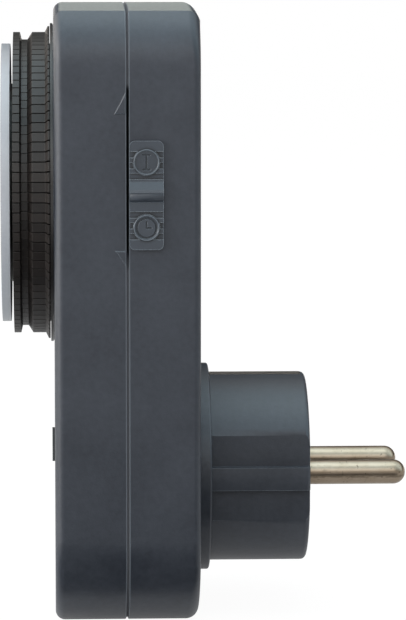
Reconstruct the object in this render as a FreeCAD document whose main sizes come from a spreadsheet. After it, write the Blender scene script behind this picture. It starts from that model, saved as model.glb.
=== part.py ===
import FreeCAD, Part
import math
import os
import re
import Sketcher

# A mechanical plug-in timer. The origin is the centre of the plug's face, between the two pins.
# X runs along the pins towards the wall, Y across the case and Z up.
# Lengths are in millimetres.

doc = FreeCAD.newDocument("plug_in_timer")
sizes = doc.addObject("Spreadsheet::Sheet", "sizes")
nodes = []

# The driving sizes, each written once. The sheet takes them row by row, each under its own name.
driving = {
    # The case, a rounded box in two halves
    "top_margin": 4.1,
    "side_margin": 1.1,
    "corner_radius": 18,
    "front_depth": 13.9,
    "rear_depth": 13.9,
    "wall": 2,
    "edge_round": 1.4,
    "parting_groove": 0.5,
    "running_gap": 0.3,
    "fit_gap": 0.05,

    # The plug and its flange
    "plug_height": 27.8,
    "plug_length": 21.95,
    "plug_radius": 18.75,
    "flange_radius": 20.6,
    "flange_depth": 2.65,
    "plug_face": 3,
    "plug_bore_radius": 15.2,
    "plug_edge_round": 0.9,
    "side_flat": 16.8,
    "side_flat_width": 18,
    "side_rib_width": 4.5,

    # The pins
    "pin_radius": 2.4,
    "pin_root_radius": 2.7,
    "pin_length": 19.3,
    "pin_spacing": 19,
    "pin_collar_radius": 3.6,
    "pin_collar_depth": 2,
    "pin_stub_radius": 1.6,
    "pin_stub_length": 3.5,

    # The earth strips
    "strip_width": 4.6,
    "strip_thickness": 0.8,
    "strip_end": 0.9,
    "earth_ring_outer": 20.6,
    "earth_ring_inner": 14.4,
    "earth_ring_setback": 3.2,
    "clip_reach": 19.8,
    "rim_bar": 0.5,
    "bar_low": 4.2,
    "bar_high": 10.3,

    # The socket at the front
    "well_radius": 19.6,
    "well_wall": 1.6,
    "well_depth": 17.5,
    "well_floor": 2,
    "well_collar": 1.6,
    "socket_hole_radius": 2.75,
    "contact_bore": 2.45,
    "contact_wall": 0.7,
    "contact_slit": 1.2,
    "contact_length": 16.5,
    "carrier_width": 12,
    "carrier_height": 27,
    "carrier_length": 14.5,

    # The screws that hold the case together
    "screw_side": 13.5,
    "screw_end": 6.5,
    "screw_radius": 1.5,
    "screw_head_radius": 2.8,
    "screw_head_depth": 1.8,
    "boss_radius": 3.3,
    "screw_reach": 8,

    # The dial
    "dial_gap": 4.2,
    "disc_front": 10.15,
    "disc_thickness": 1.7,
    "disc_gap": 0.65,
    "lip_thickness": 0.5,
    "lip_clearance": 0.15,
    "lip_overhang": 0.6,
    "rim_setback": 0.2,
    "sleeve_step": 1.5,
    "slot_depth": 4.35,
    "drum_wall": 1.95,
    "boss_step": 3.75,
    "sleeve_reach": 3,
    "dial_web": 2.2,
    "hub_radius": 6.5,
    "cap_radius": 11,
    "cap_thickness": 2.4,
    "cap_shank": 6,

    # The tappets, one for each quarter of an hour
    "tappet_count": 96,
    "tappet_radius": 30.8,
    "foot_step": 1.15,
    "neck_step": 1.45,
    "head_height": 2.05,
    "tappet_gap": 0.081,
    "tail_setback": 0.35,
    "tappet_web": 1,
    "head_start": 0.6,
    "waist_start": 1.9,
    "waist_end": 3.4,
    "shoulder_start": 4.3,
    "foot_start": 6.8,
    "foot_slope": 0.55,
    "head_slope": 0.35,
    "tappet_travel": 2,
    "tail_reach": 5.2,

    # The gears
    "dial_gear_teeth": 50,
    "dial_gear_module": 0.8,
    "pinion_teeth": 10,
    "wheel_teeth": 48,
    "wheel_module": 0.5,
    "gear_width": 2,
    "wheel_width": 1.5,
    "train_angle": 20,
    "axle_radius": 1.5,
    "spindle_radius": 4,

    # The movement plate and the motor
    "plate_thickness": 1.5,
    "plate_gap": 2.5,
    "plate_side": 5.5,
    "plate_screw_reach": 5,
    "plate_setback": 9.8,
    "plate_low": 33,
    "plate_high": 24,
    "plate_inset": 4,
    "post_radius": 2.6,
    "motor_radius": 19,
    "motor_depth": 13.5,
    "motor_side": 6,
    "motor_drop": 7,
    "lug_offset": 21.5,
    "lug_radius": 3.2,
    "lug_thickness": 1.2,
    "small_screw_radius": 1.2,
    "small_head_radius": 2.2,
    "small_head_depth": 1.1,

    # The switch
    "nose_inset": 0.25,
    "switch_width": 6,
    "switch_low": 1,
    "switch_high": 24,
    "ear_depth": 3.6,
    "ear_height": 5.6,
    "ear_thickness": 1.2,
    "lever_thickness": 3,
    "lever_drop": 21,
    "lever_depth": 2,
    "nose_height": 2.4,
    "pivot_radius": 1,
    "plunger_drop": 11,
    "plunger_radius": 1.4,
    "plunger_length": 4,

    # The slide switch on the side
    "slider_rest": 46.2,
    "slider_length": 20.6,
    "slider_width": 6.45,
    "slider_offset": 0.3,
    "slider_height": 1,
    "slider_corner": 1.1,
    "slider_travel": 5.3,
    "grip_height": 1.9,
    "rib_width": 0.86,
    "rib_pitch": 2.05,
    "rib_depth": 0.4,
    "lower_ribs": 1.93,
    "grip_foot": 8.95,
    "grip_ridge": 10.9,
    "grip_top": 12.9,
    "upper_ribs": 13.3,
    "button_radius": 2.55,
    "stem_start": 5.3,
    "stem_length": 9.6,
    "stem_width": 3.6,
    "carriage_thickness": 1.2,
    "carriage_margin": 2,

    # The strips that carry the current
    "busbar_thickness": 0.8,
    "busbar_width": 3.4,
    "riser_inset": 3.5,
}
for row, (name, number) in enumerate(driving.items(), 1):
    sizes.set("A%d" % row, name)
    sizes.set("B%d" % row, str(number))
    sizes.setAlias("B%d" % row, name)
doc.recompute()

# Sizes that follow from the driving ones: the dial's rings step in from its tappets' feet, the dial stands
# above the socket, the case closes round the dial, and the switch and the plate keep clear of each other
derived = {
    "riser_side": "switch_side - riser_inset",
    "plate_left": "switch_side - switch_width / 2 - plate_gap",
    "plate_right": "half_width - plate_side",
    "switch_side": "tappet_tail_radius - nose_inset",
    "half_width": "lip_radius + side_margin",
    "dial_height": "well_radius + well_wall + dial_gap + lip_radius",
    "tappet_thickness": "2 * pi * slot_rim_radius / tappet_count - tappet_gap",
    "boss_front_radius": "slot_floor_radius - boss_step",
    "ring_inner_radius": "slot_floor_radius - drum_wall",
    "slot_floor_radius": "slot_rim_radius - slot_depth",
    "tappet_tail_radius": "sleeve_radius - tail_setback",
    "sleeve_radius": "slot_rim_radius - sleeve_step",
    "disc_radius": "slot_rim_radius - rim_setback",
    "slot_rim_radius": "tappet_head_radius - head_height",
    "tappet_neck_radius": "tappet_head_radius - neck_step",
    "tappet_head_radius": "tappet_radius - foot_step",
    "lip_radius": "tappet_radius + lip_overhang",
}

# Places that several pieces share, each measured along X from the case's front face or the plug's face
FRONT = "(0 - plug_length - rear_depth - front_depth)"
PARTING = "(0 - plug_length - rear_depth)"
REAR = "(0 - plug_length)"
BOTTOM = "(0 - plug_height)"
TOP = "(dial_height + lip_radius + top_margin)"
HALF_WIDTH = "half_width"


def linked(text):
    """An expression in which derived sizes are spelled out and each driving one points at its cell."""
    for name, meaning in derived.items():
        text = re.sub(r"\b%s\b" % name, "(" + meaning + ")", text)
    return re.sub(r"[a-z_]+", lambda word: ("sizes." if word[0] in driving else "") + word[0], text)


def value(name):
    """A driving size as a number."""
    return float(sizes.get(name))


def new_body(label):
    """A new sub-part, named by its label."""
    body = doc.addObject("PartDesign::Body", label)
    body.Label = label
    nodes.append(body)
    return body


def place(item, along="0", across="0", up="0"):
    """Put a sub-part at a place given by expressions."""
    item.setExpression(".Placement.Base.x", linked(along))
    item.setExpression(".Placement.Base.y", linked(across))
    item.setExpression(".Placement.Base.z", linked(up))


def turn(item, degrees):
    """Turn a sub-part about its own X axis."""
    item.Placement.Rotation = FreeCAD.Rotation(FreeCAD.Vector(1, 0, 0), degrees % 360)


def origin_feature(body, role):
    """One of a body's own origin planes or axes."""
    return next(item for item in body.Origin.OriginFeatures if item.Role == role)


def sketch_on(body, plane, offset="0"):
    """A sketch on one of the body's origin planes, moved along the plane's normal."""
    sketch = body.newObject("Sketcher::SketchObject", "Sketch")
    sketch.AttachmentSupport = (origin_feature(body, plane), "")
    sketch.MapMode = "FlatFace"
    sketch.setExpression(".AttachmentOffset.Base.z", linked(offset))
    return sketch


def polygon(sketch, corners):
    """A closed outline whose corners are held by their distances from the sketch's origin."""
    first = sketch.GeometryCount
    count = len(corners)
    start = [FreeCAD.Vector(1 + number, number * number + 1, 0) for number in range(count)]
    for number in range(count):
        sketch.addGeometry(Part.LineSegment(start[number], start[(number + 1) % count]))
    rules = []
    for number in range(count):
        line = first + number
        rules.append(Sketcher.Constraint("Coincident", line, 2, first + (number + 1) % count, 1))
    for number in range(count):
        line = first + number
        rules.append(Sketcher.Constraint("DistanceX", -1, 1, line, 1, start[number].x))
        rules.append(Sketcher.Constraint("DistanceY", -1, 1, line, 1, start[number].y))
    base = sketch.ConstraintCount
    sketch.addConstraint(rules)
    for number, corner in enumerate(corners):
        sketch.setExpression("Constraints[%d]" % (base + count + 2 * number), linked(corner[0]))
        sketch.setExpression("Constraints[%d]" % (base + count + 2 * number + 1), linked(corner[1]))
    return sketch


def rectangle(sketch, left, right, low, high):
    """A rectangle between four expressions."""
    return polygon(sketch, [(left, low), (right, low), (right, high), (left, high)])


def rounded_rectangle(sketch, start, rules):
    """A rectangle with round corners: left, right, low, high and radius, drawn as numbers, held by rules."""
    left, right, low, high, bend = start
    quarter = math.pi / 2
    middles = [(left + bend, low + bend), (right - bend, low + bend)]
    middles += [(right - bend, high - bend), (left + bend, high - bend)]
    ends = [(left + bend, low), (right - bend, low), (right, low + bend), (right, high - bend)]
    ends += [(right - bend, high), (left + bend, high), (left, high - bend), (left, low + bend)]
    points = [FreeCAD.Vector(x, y, 0) for x, y in ends]
    for number in range(4):
        sketch.addGeometry(Part.LineSegment(points[2 * number], points[2 * number + 1]))
        middle = middles[(number + 1) % 4]
        whole = Part.Circle(FreeCAD.Vector(middle[0], middle[1], 0), FreeCAD.Vector(0, 0, 1), bend)
        sketch.addGeometry(Part.ArcOfCircle(whole, (number - 1) * quarter, number * quarter))
    sketch.addConstraint([Sketcher.Constraint("Tangent", n, 2, (n + 1) % 8, 1) for n in range(8)])
    sketch.addConstraint([Sketcher.Constraint("Horizontal", n) for n in (0, 4)])
    sketch.addConstraint([Sketcher.Constraint("Vertical", n) for n in (2, 6)])
    sketch.addConstraint([Sketcher.Constraint("Equal", 1, n) for n in (3, 5, 7)])
    held = [
        Sketcher.Constraint("DistanceX", -1, 1, 6, 1, left),
        Sketcher.Constraint("DistanceX", -1, 1, 2, 1, right),
        Sketcher.Constraint("DistanceY", -1, 1, 0, 1, low),
        Sketcher.Constraint("DistanceY", -1, 1, 4, 1, high),
        Sketcher.Constraint("Radius", 1, bend),
    ]
    for rule, text in zip(held, rules):
        number = sketch.addConstraint(rule)
        sketch.setExpression("Constraints[%d]" % number, linked(text))
    return sketch


def circle(sketch, across, up, radius):
    """A circle held by its centre and its radius."""
    round_edge = sketch.addGeometry(Part.Circle(FreeCAD.Vector(1, 1, 0), FreeCAD.Vector(0, 0, 1), 1))
    for kind, text in (("DistanceX", across), ("DistanceY", up)):
        rule = sketch.addConstraint(Sketcher.Constraint(kind, -1, 1, round_edge, 3, 1.0))
        sketch.setExpression("Constraints[%d]" % rule, linked(text))
    rule = sketch.addConstraint(Sketcher.Constraint("Radius", round_edge, 1.0))
    sketch.setExpression("Constraints[%d]" % rule, linked(radius))
    return sketch


def feature_of(sketch, kind, backwards):
    """A feature of the sketch's own body, made from the sketch."""
    body = sketch.getParentGeoFeatureGroup()
    feature = body.newObject("PartDesign::" + kind, kind)
    feature.Profile = sketch
    feature.Reversed = backwards
    sketch.Visibility = False
    return feature


def pad(sketch, length, backwards=False, symmetric=False):
    """Material along the sketch's normal, or against it."""
    feature = feature_of(sketch, "Pad", backwards)
    feature.setExpression("Length", linked(length))
    if symmetric:
        feature.SideType = "Symmetric"
    return feature


def pocket(sketch, length, forwards=False, symmetric=False):
    """A cut against the sketch's normal, or along it."""
    feature = feature_of(sketch, "Pocket", forwards)
    feature.setExpression("Length", linked(length))
    if symmetric:
        feature.SideType = "Symmetric"
    return feature


def turned(body, corners):
    """A solid turned about the body's X axis from a profile of distances along it and radii."""
    sketch = polygon(sketch_on(body, "XZ_Plane"), corners)
    feature = body.newObject("PartDesign::Revolution", "Revolution")
    feature.Profile = sketch
    feature.ReferenceAxis = (sketch, ["H_Axis"])
    feature.Angle = 360
    return feature


def around(body, feature, count):
    """Copies of a feature, evenly spaced about the body's X axis."""
    pattern = body.newObject("PartDesign::PolarPattern", "PolarPattern")
    pattern.Originals = [feature]
    pattern.Axis = (origin_feature(body, "X_Axis"), [""])
    pattern.Angle = 360
    pattern.setExpression("Occurrences", linked(count))
    body.Tip = pattern
    return pattern


def soften(body, kind, length, wanted):
    """A fillet or chamfer on those edges of the body's latest feature that the test picks."""
    doc.recompute()
    last = body.Tip
    picked = ["Edge%d" % (number + 1) for number, edge in enumerate(last.Shape.Edges) if wanted(edge)]
    feature = body.newObject("PartDesign::" + kind, kind)
    feature.Base = (last, picked)
    feature.setExpression("Radius" if kind == "Fillet" else "Size", linked(length))
    body.Tip = feature
    return feature


def flat_at(position):
    """A test for the edges that lie in the plane across X at one position."""
    return lambda edge: max(abs(edge.BoundBox.XMin - position), abs(edge.BoundBox.XMax - position)) < 1e-4


def along_x(edge):
    """Does a straight edge run along X?"""
    return edge.BoundBox.YLength < 1e-4 and edge.BoundBox.ZLength < 1e-4


front = -value("plug_length") - value("rear_depth") - value("front_depth")
parting = -value("plug_length") - value("rear_depth")
rear = -value("plug_length")


# Case halves: rounded boxes, open towards each other

def case_half(label, start, depth, far):
    """Half of the case as a solid block: round corners, a round far edge, a chamfer at the parting line."""
    body = new_body(label)
    block = rectangle(sketch_on(body, "YZ_Plane", start), "0 - " + HALF_WIDTH, HALF_WIDTH, BOTTOM, TOP)
    pad(block, depth)
    soften(body, "Fillet", "corner_radius", along_x)
    soften(body, "Fillet", "edge_round", flat_at(far))
    soften(body, "Chamfer", "parting_groove", flat_at(parting))
    return body


def hollow(body, depth, forwards):
    """The inside of a case half, one wall smaller than the outline all round."""
    doc.recompute()
    sketch = sketch_on(body, "YZ_Plane", PARTING)
    outside = body.Tip.Shape.BoundBox
    side = outside.YMax - value("wall")
    low = outside.ZMin + value("wall")
    high = outside.ZMax - value("wall")
    bend = value("corner_radius") - value("wall")
    rounded_rectangle(
        sketch, (-side, side, low, high, bend),
        (
            "wall - " + HALF_WIDTH, HALF_WIDTH + " - wall",
            BOTTOM + " + wall", TOP + " - wall", "corner_radius - wall",
        ),
    )
    pocket(sketch, depth, forwards=forwards)


def at_the_screws(sketch, radius):
    """Four circles on the axes of the case screws."""
    for side in ("0 - " + HALF_WIDTH + " + screw_side", HALF_WIDTH + " - screw_side"):
        for height in (BOTTOM + " + screw_end", TOP + " - screw_end"):
            circle(sketch, side, height, radius)
    return sketch


def at_the_posts(sketch, radius):
    """Four circles on the axes of the posts that carry the movement plate."""
    for side in ("plate_inset - plate_left", "plate_right - plate_inset"):
        for height in ("dial_height - plate_low + plate_inset", "dial_height + plate_high - plate_inset"):
            circle(sketch, side, height, radius)
    return sketch


# Front half, with the dial's and the socket's openings

front_shell = case_half("front_shell", FRONT, "front_depth", front)
hollow(front_shell, "front_depth - wall", False)
pad(
    at_the_screws(sketch_on(front_shell, "YZ_Plane", FRONT + " + wall"), "boss_radius"),
    "front_depth - wall",
)
pocket(
    at_the_screws(sketch_on(front_shell, "YZ_Plane", PARTING), "screw_radius + fit_gap"),
    "screw_reach + 1",
)
pocket(
    circle(sketch_on(front_shell, "YZ_Plane", FRONT), "0", "dial_height", "sleeve_radius + running_gap"),
    "wall", forwards=True,
)
pocket(
    circle(sketch_on(front_shell, "YZ_Plane", FRONT), "0", "0", "well_radius + well_wall + running_gap"),
    "wall", forwards=True,
)

# Rear half, with the flange and the plug body

rear_shell = case_half("rear_shell", PARTING, "rear_depth", rear)
pad(circle(sketch_on(rear_shell, "YZ_Plane", REAR), "0", "0", "flange_radius"), "flange_depth")
pad(circle(sketch_on(rear_shell, "YZ_Plane", REAR), "0", "0", "plug_radius"), "plug_length")
soften(rear_shell, "Fillet", "plug_edge_round", flat_at(0))
flange_face = rear + value("flange_depth")
soften(
    rear_shell, "Fillet", "plug_edge_round",
    lambda edge: flat_at(flange_face)(edge) and edge.BoundBox.ZMax > value("plug_radius") + 0.1,
)
hollow(rear_shell, "rear_depth - wall", True)
pocket(
    circle(sketch_on(rear_shell, "YZ_Plane", REAR + " - wall"), "0", "0", "plug_bore_radius"),
    "plug_length + wall - plug_face", forwards=True,
)
# The flats on the plug's sides, each with a rib along its middle
for side in ("0 - ", ""):
    for half in ("0 - ", ""):
        flat = rectangle(
            sketch_on(rear_shell, "YZ_Plane"),
            side + "side_flat", side + "(plug_radius + 1)",
            half + "side_rib_width / 2", half + "side_flat_width / 2",
        )
        pocket(flat, "plug_length - flange_depth")
# The channels of the earth strips, open along the plug and closed under the flange
for side in ("0 - ", ""):
    channel = rectangle(
        sketch_on(rear_shell, "YZ_Plane", "0 - strip_end + fit_gap"),
        "0 - strip_width / 2 - fit_gap", "strip_width / 2 + fit_gap",
        side + "(plug_radius - 2 * fit_gap - strip_thickness - fit_gap)", side + "(plug_radius + 1)",
    )
    pocket(channel, "plug_length - flange_depth - strip_end + fit_gap")
    tunnel = rectangle(
        sketch_on(rear_shell, "YZ_Plane", "flange_depth - plug_length"),
        "0 - strip_width / 2 - fit_gap", "strip_width / 2 + fit_gap",
        side + "(plug_radius - 2 * fit_gap - strip_thickness - fit_gap)", side + "(plug_radius - fit_gap)",
    )
    pocket(tunnel, "flange_depth + wall")
# The holes for the pins
pins = sketch_on(rear_shell, "YZ_Plane")
circle(pins, "0 - pin_spacing / 2", "0", "pin_root_radius + fit_gap")
circle(pins, "pin_spacing / 2", "0", "pin_root_radius + fit_gap")
pocket(pins, "plug_face")
# The screw bosses, drilled through and sunk for the heads
pad(
    at_the_screws(sketch_on(rear_shell, "YZ_Plane", PARTING), "boss_radius"),
    "rear_depth - wall",
)
pocket(at_the_screws(sketch_on(rear_shell, "YZ_Plane", REAR), "screw_radius + fit_gap"), "rear_depth")
pocket(
    at_the_screws(sketch_on(rear_shell, "YZ_Plane", REAR), "screw_head_radius + running_gap"),
    "screw_head_depth + 3 * fit_gap",
)
# The posts for the movement plate
PLATE_BACK = "(" + FRONT + " + plate_setback + plate_thickness)"
pad(
    at_the_posts(sketch_on(rear_shell, "YZ_Plane", PLATE_BACK), "post_radius"),
    "rear_depth + front_depth - plate_setback - plate_thickness - wall",
)
pocket(
    at_the_posts(sketch_on(rear_shell, "YZ_Plane", PLATE_BACK), "small_screw_radius + fit_gap"),
    "plate_screw_reach + 1", forwards=True,
)
# The slot of the slide switch in the side wall
SLIDER_BACK = "(" + PARTING + " + slider_offset)"
SLIDER_MIDDLE = "(" + SLIDER_BACK + " + slider_width / 2)"
STEM_LOW = "(slider_rest + stem_start)"
slot = rectangle(
    sketch_on(rear_shell, "XZ_Plane", HALF_WIDTH + " + 1"),
    SLIDER_MIDDLE + " - stem_width / 2 - fit_gap", SLIDER_MIDDLE + " + stem_width / 2 + fit_gap",
    STEM_LOW + " - fit_gap", STEM_LOW + " + stem_length + slider_travel + fit_gap",
)
pocket(slot, "wall + 2")

# Screws that hold the two halves together

case_screws = new_body("case_screws")
case_screws.AllowCompound = True
HEAD_BACK = "(" + REAR + " - 2 * fit_gap)"
pad(
    at_the_screws(sketch_on(case_screws, "YZ_Plane", HEAD_BACK), "screw_head_radius"),
    "screw_head_depth", backwards=True,
)
pad(
    at_the_screws(sketch_on(case_screws, "YZ_Plane", HEAD_BACK), "screw_radius"),
    "rear_depth + screw_reach", backwards=True,
)

# Socket well: a cup with a collar behind the front wall, grooves for the clips and two holes in its floor

socket_well = new_body("socket_well")
place(socket_well, FRONT)
turned(socket_well, [
    ("0", "well_radius"),
    ("0", "well_radius + well_wall"),
    ("wall + fit_gap", "well_radius + well_wall"),
    ("wall + fit_gap", "well_radius + well_wall + well_collar"),
    ("wall + 1.5", "well_radius + well_wall + well_collar"),
    ("wall + 1.5", "well_radius + well_wall"),
    ("well_depth + well_floor", "well_radius + well_wall"),
    ("well_depth + well_floor", "0"),
    ("well_depth", "0"),
    ("well_depth", "well_radius"),
])
# A low bar that stands on the rim, beside the switch side, along the ring of the wall
def on_ring(radius, height):
    """A corner at one height on a circle about the socket's axis, on the side of the slide switch."""
    return "0 - sqrt((%s) ^ 2 - %s ^ 2)" % (radius, height), height


BAR_INNER = "well_radius + 0.35"
BAR_OUTER = "well_radius + well_wall - 0.05"
rim_bar = polygon(sketch_on(socket_well, "YZ_Plane", "1"), [
    on_ring(BAR_INNER, "bar_low"),
    on_ring(BAR_OUTER, "bar_low"),
    on_ring(BAR_OUTER, "bar_high"),
    on_ring(BAR_INNER, "bar_high"),
])
pad(rim_bar, "1 + rim_bar", backwards=True)
# The grooves of the earth clips
for side in ("0 - ", ""):
    groove = rectangle(
        sketch_on(socket_well, "YZ_Plane", "0.8"),
        side + "(well_radius - 1.3)", side + "(clip_reach + fit_gap)",
        "0 - strip_width / 2 - fit_gap", "strip_width / 2 + fit_gap",
    )
    pocket(groove, "well_depth + well_floor", forwards=True)
holes = sketch_on(socket_well, "YZ_Plane", "well_depth")
circle(holes, "0", "0 - pin_spacing / 2", "socket_hole_radius")
circle(holes, "0", "pin_spacing / 2", "socket_hole_radius")
pocket(holes, "well_floor", forwards=True)

# Block behind the floor, with a bore for each contact

FLOOR_BACK = "(" + FRONT + " + well_depth + well_floor)"
contact_carrier = new_body("contact_carrier")
place(contact_carrier, FLOOR_BACK + " + 2 * fit_gap")
pad(
    rectangle(
        sketch_on(contact_carrier, "YZ_Plane"),
        "0 - carrier_width / 2", "carrier_width / 2", "0 - carrier_height / 2", "carrier_height / 2",
    ),
    "carrier_length",
)
soften(contact_carrier, "Fillet", "carrier_width / 3", along_x)
bores = sketch_on(contact_carrier, "YZ_Plane")
circle(bores, "0", "0 - pin_spacing / 2", "contact_bore + contact_wall + fit_gap")
circle(bores, "0", "pin_spacing / 2", "contact_bore + contact_wall + fit_gap")
pocket(bores, "carrier_length", forwards=True)
window = rectangle(
    sketch_on(contact_carrier, "YZ_Plane"),
    "0 - carrier_width / 2 - 1", "0 - contact_bore - contact_wall / 2",
    "pin_spacing / 2 - busbar_width / 2 - fit_gap", "pin_spacing / 2 + busbar_width / 2 + fit_gap",
)
pocket(window, "4", forwards=True)

# Spring contacts: split sleeves that grip the pins of the plug put in at the front


def contact(label, up):
    """A split sleeve along X."""
    body = new_body(label)
    place(body, FLOOR_BACK + " + 4 * fit_gap", "0", up)
    ring = sketch_on(body, "YZ_Plane")
    circle(ring, "0", "0", "contact_bore + contact_wall")
    circle(ring, "0", "0", "contact_bore")
    pad(ring, "contact_length")
    slit = rectangle(
        sketch_on(body, "YZ_Plane", "busbar_thickness + 2"),
        "0", "contact_bore + 2", "0 - contact_slit / 2", "contact_slit / 2",
    )
    pocket(slit, "contact_length", forwards=True)
    return body


contact("live_contact", "pin_spacing / 2")
contact("neutral_contact", "0 - pin_spacing / 2")

# Plug pins: a round-ended shaft, a wider root in the face, a collar behind it and a stub for the strip


def plug_pin(label, across):
    """One pin, turned about its own axis."""
    body = new_body(label)
    place(body, "0", across)
    turned(body, [
        ("0 - plug_face - fit_gap - pin_collar_depth - pin_stub_length", "0"),
        ("0 - plug_face - fit_gap - pin_collar_depth - pin_stub_length", "pin_stub_radius"),
        ("0 - plug_face - fit_gap - pin_collar_depth", "pin_stub_radius"),
        ("0 - plug_face - fit_gap - pin_collar_depth", "pin_collar_radius"),
        ("0 - plug_face - fit_gap", "pin_collar_radius"),
        ("0 - plug_face - fit_gap", "pin_root_radius"),
        ("0 - fit_gap", "pin_root_radius"),
        ("0 - fit_gap", "pin_radius"),
        ("pin_length", "pin_radius"),
        ("pin_length", "0"),
    ])
    soften(body, "Fillet", "pin_radius * 0.98", flat_at(value("pin_length")))
    return body


plug_pin("live_pin", "0 - pin_spacing / 2")
plug_pin("neutral_pin", "pin_spacing / 2")

# Earth frame: a ring with two arms back into the plug and two forward into the socket

earth_frame = new_body("earth_frame")
RING_BACK = "(" + REAR + " - wall - earth_ring_setback)"
ring = sketch_on(earth_frame, "YZ_Plane", RING_BACK)
circle(ring, "0", "0", "earth_ring_outer")
circle(ring, "0", "0", "earth_ring_inner")
pad(ring, "strip_thickness", backwards=True)
for side in ("0 - ", ""):
    arm = rectangle(
        sketch_on(earth_frame, "YZ_Plane", RING_BACK + " - strip_thickness"),
        "0 - strip_width / 2", "strip_width / 2",
        side + "(plug_radius - 2 * fit_gap - strip_thickness)", side + "(plug_radius - 2 * fit_gap)",
    )
    pad(arm, "plug_length + wall + earth_ring_setback + strip_thickness - strip_end")
for side in ("0 - ", ""):
    clip = rectangle(
        sketch_on(earth_frame, "YZ_Plane", RING_BACK),
        side + "(clip_reach - strip_thickness)", side + "clip_reach",
        "0 - strip_width / 2", "strip_width / 2",
    )
    pad(clip, RING_BACK + " - " + FRONT + " - 1", backwards=True)
    spring = rectangle(
        sketch_on(earth_frame, "YZ_Plane", FRONT + " + 9"),
        side + "(clip_reach - strip_thickness - 1.2)", side + "(clip_reach - strip_thickness + 0.1)",
        "0 - strip_width / 2", "strip_width / 2",
    )
    pad(spring, "5", backwards=True)

# Dial carrier: the disc, the drum, the lip, the sleeve through the case and the hub.
# It is turned about the dial's axis and measured from the case's front face.

dial_carrier = new_body("dial_carrier")
place(dial_carrier, FRONT, "0", "dial_height")
turn(dial_carrier, 180 / value("tappet_count"))
CAP_SEAT = "(cap_thickness + 3 * fit_gap - disc_front)"
GEAR_FRONT = "(tail_reach + 2 * running_gap - 0.2)"
turned(dial_carrier, [
    (CAP_SEAT, "spindle_radius + fit_gap"),
    (CAP_SEAT, "cap_radius + running_gap"),
    ("0 - disc_front", "cap_radius + running_gap"),
    ("0 - disc_front", "disc_radius"),
    ("disc_thickness - disc_front", "disc_radius"),
    ("disc_thickness - disc_front", "boss_front_radius"),
    ("disc_thickness + disc_gap - disc_front", "boss_front_radius"),
    ("disc_thickness + disc_gap - disc_front", "disc_radius"),
    ("0 - lip_thickness - lip_clearance", "disc_radius"),
    ("0 - lip_thickness - lip_clearance", "lip_radius"),
    ("0 - lip_clearance", "lip_radius"),
    ("0 - lip_clearance", "sleeve_radius"),
    ("sleeve_reach", "sleeve_radius"),
    ("sleeve_reach", "ring_inner_radius"),
    (CAP_SEAT + " + dial_web", "ring_inner_radius"),
    (CAP_SEAT + " + dial_web", "hub_radius"),
    (GEAR_FRONT + " + gear_width", "hub_radius"),
    (GEAR_FRONT + " + gear_width", "spindle_radius + fit_gap"),
])
slot = pocket(
    rectangle(
        sketch_on(dial_carrier, "YZ_Plane", "disc_thickness + disc_gap / 2 - disc_front"),
        "0 - tappet_web / 2 - fit_gap", "tappet_web / 2 + fit_gap", "slot_floor_radius", "slot_rim_radius",
    ),
    "disc_front - disc_thickness + sleeve_reach", forwards=True,
)
around(dial_carrier, slot, "tappet_count")

# Spindle, fixed to the movement plate, and the cap with the time pointer on its front end

PLATE_FRONT = "plate_setback"
dial_spindle = new_body("dial_spindle")
place(dial_spindle, FRONT, "0", "dial_height")
turned(dial_spindle, [
    (CAP_SEAT + " - 2 * fit_gap", "screw_radius + fit_gap"),
    (CAP_SEAT + " - 2 * fit_gap", "spindle_radius"),
    (PLATE_FRONT + " - fit_gap", "spindle_radius"),
    (PLATE_FRONT + " - fit_gap", "spindle_radius - 1"),
    (PLATE_FRONT + " + plate_thickness", "spindle_radius - 1"),
    (PLATE_FRONT + " + plate_thickness", "0"),
    (CAP_SEAT + " + cap_shank + 1", "0"),
    (CAP_SEAT + " + cap_shank + 1", "screw_radius + fit_gap"),
])
dial_cap = new_body("dial_cap")
place(dial_cap, FRONT, "0", "dial_height")
turned(dial_cap, [
    ("fit_gap - disc_front", "0"),
    ("fit_gap - disc_front", "cap_radius"),
    ("fit_gap - disc_front + cap_thickness", "cap_radius"),
    ("fit_gap - disc_front + cap_thickness", "screw_radius"),
    (CAP_SEAT + " + cap_shank", "screw_radius"),
    (CAP_SEAT + " + cap_shank", "0"),
])
arrow = polygon(
    sketch_on(dial_cap, "YZ_Plane", "fit_gap - disc_front"),
    [
        ("0", "cap_radius - 1"),
        ("0 - cap_radius / 4", "cap_radius / 2"),
        ("cap_radius / 4", "cap_radius / 2"),
    ],
)
pocket(arrow, "0.4", forwards=True)

# Tappets: a head, a waist and a foot outside, a web in the dial's slot and a tail through the case

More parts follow.
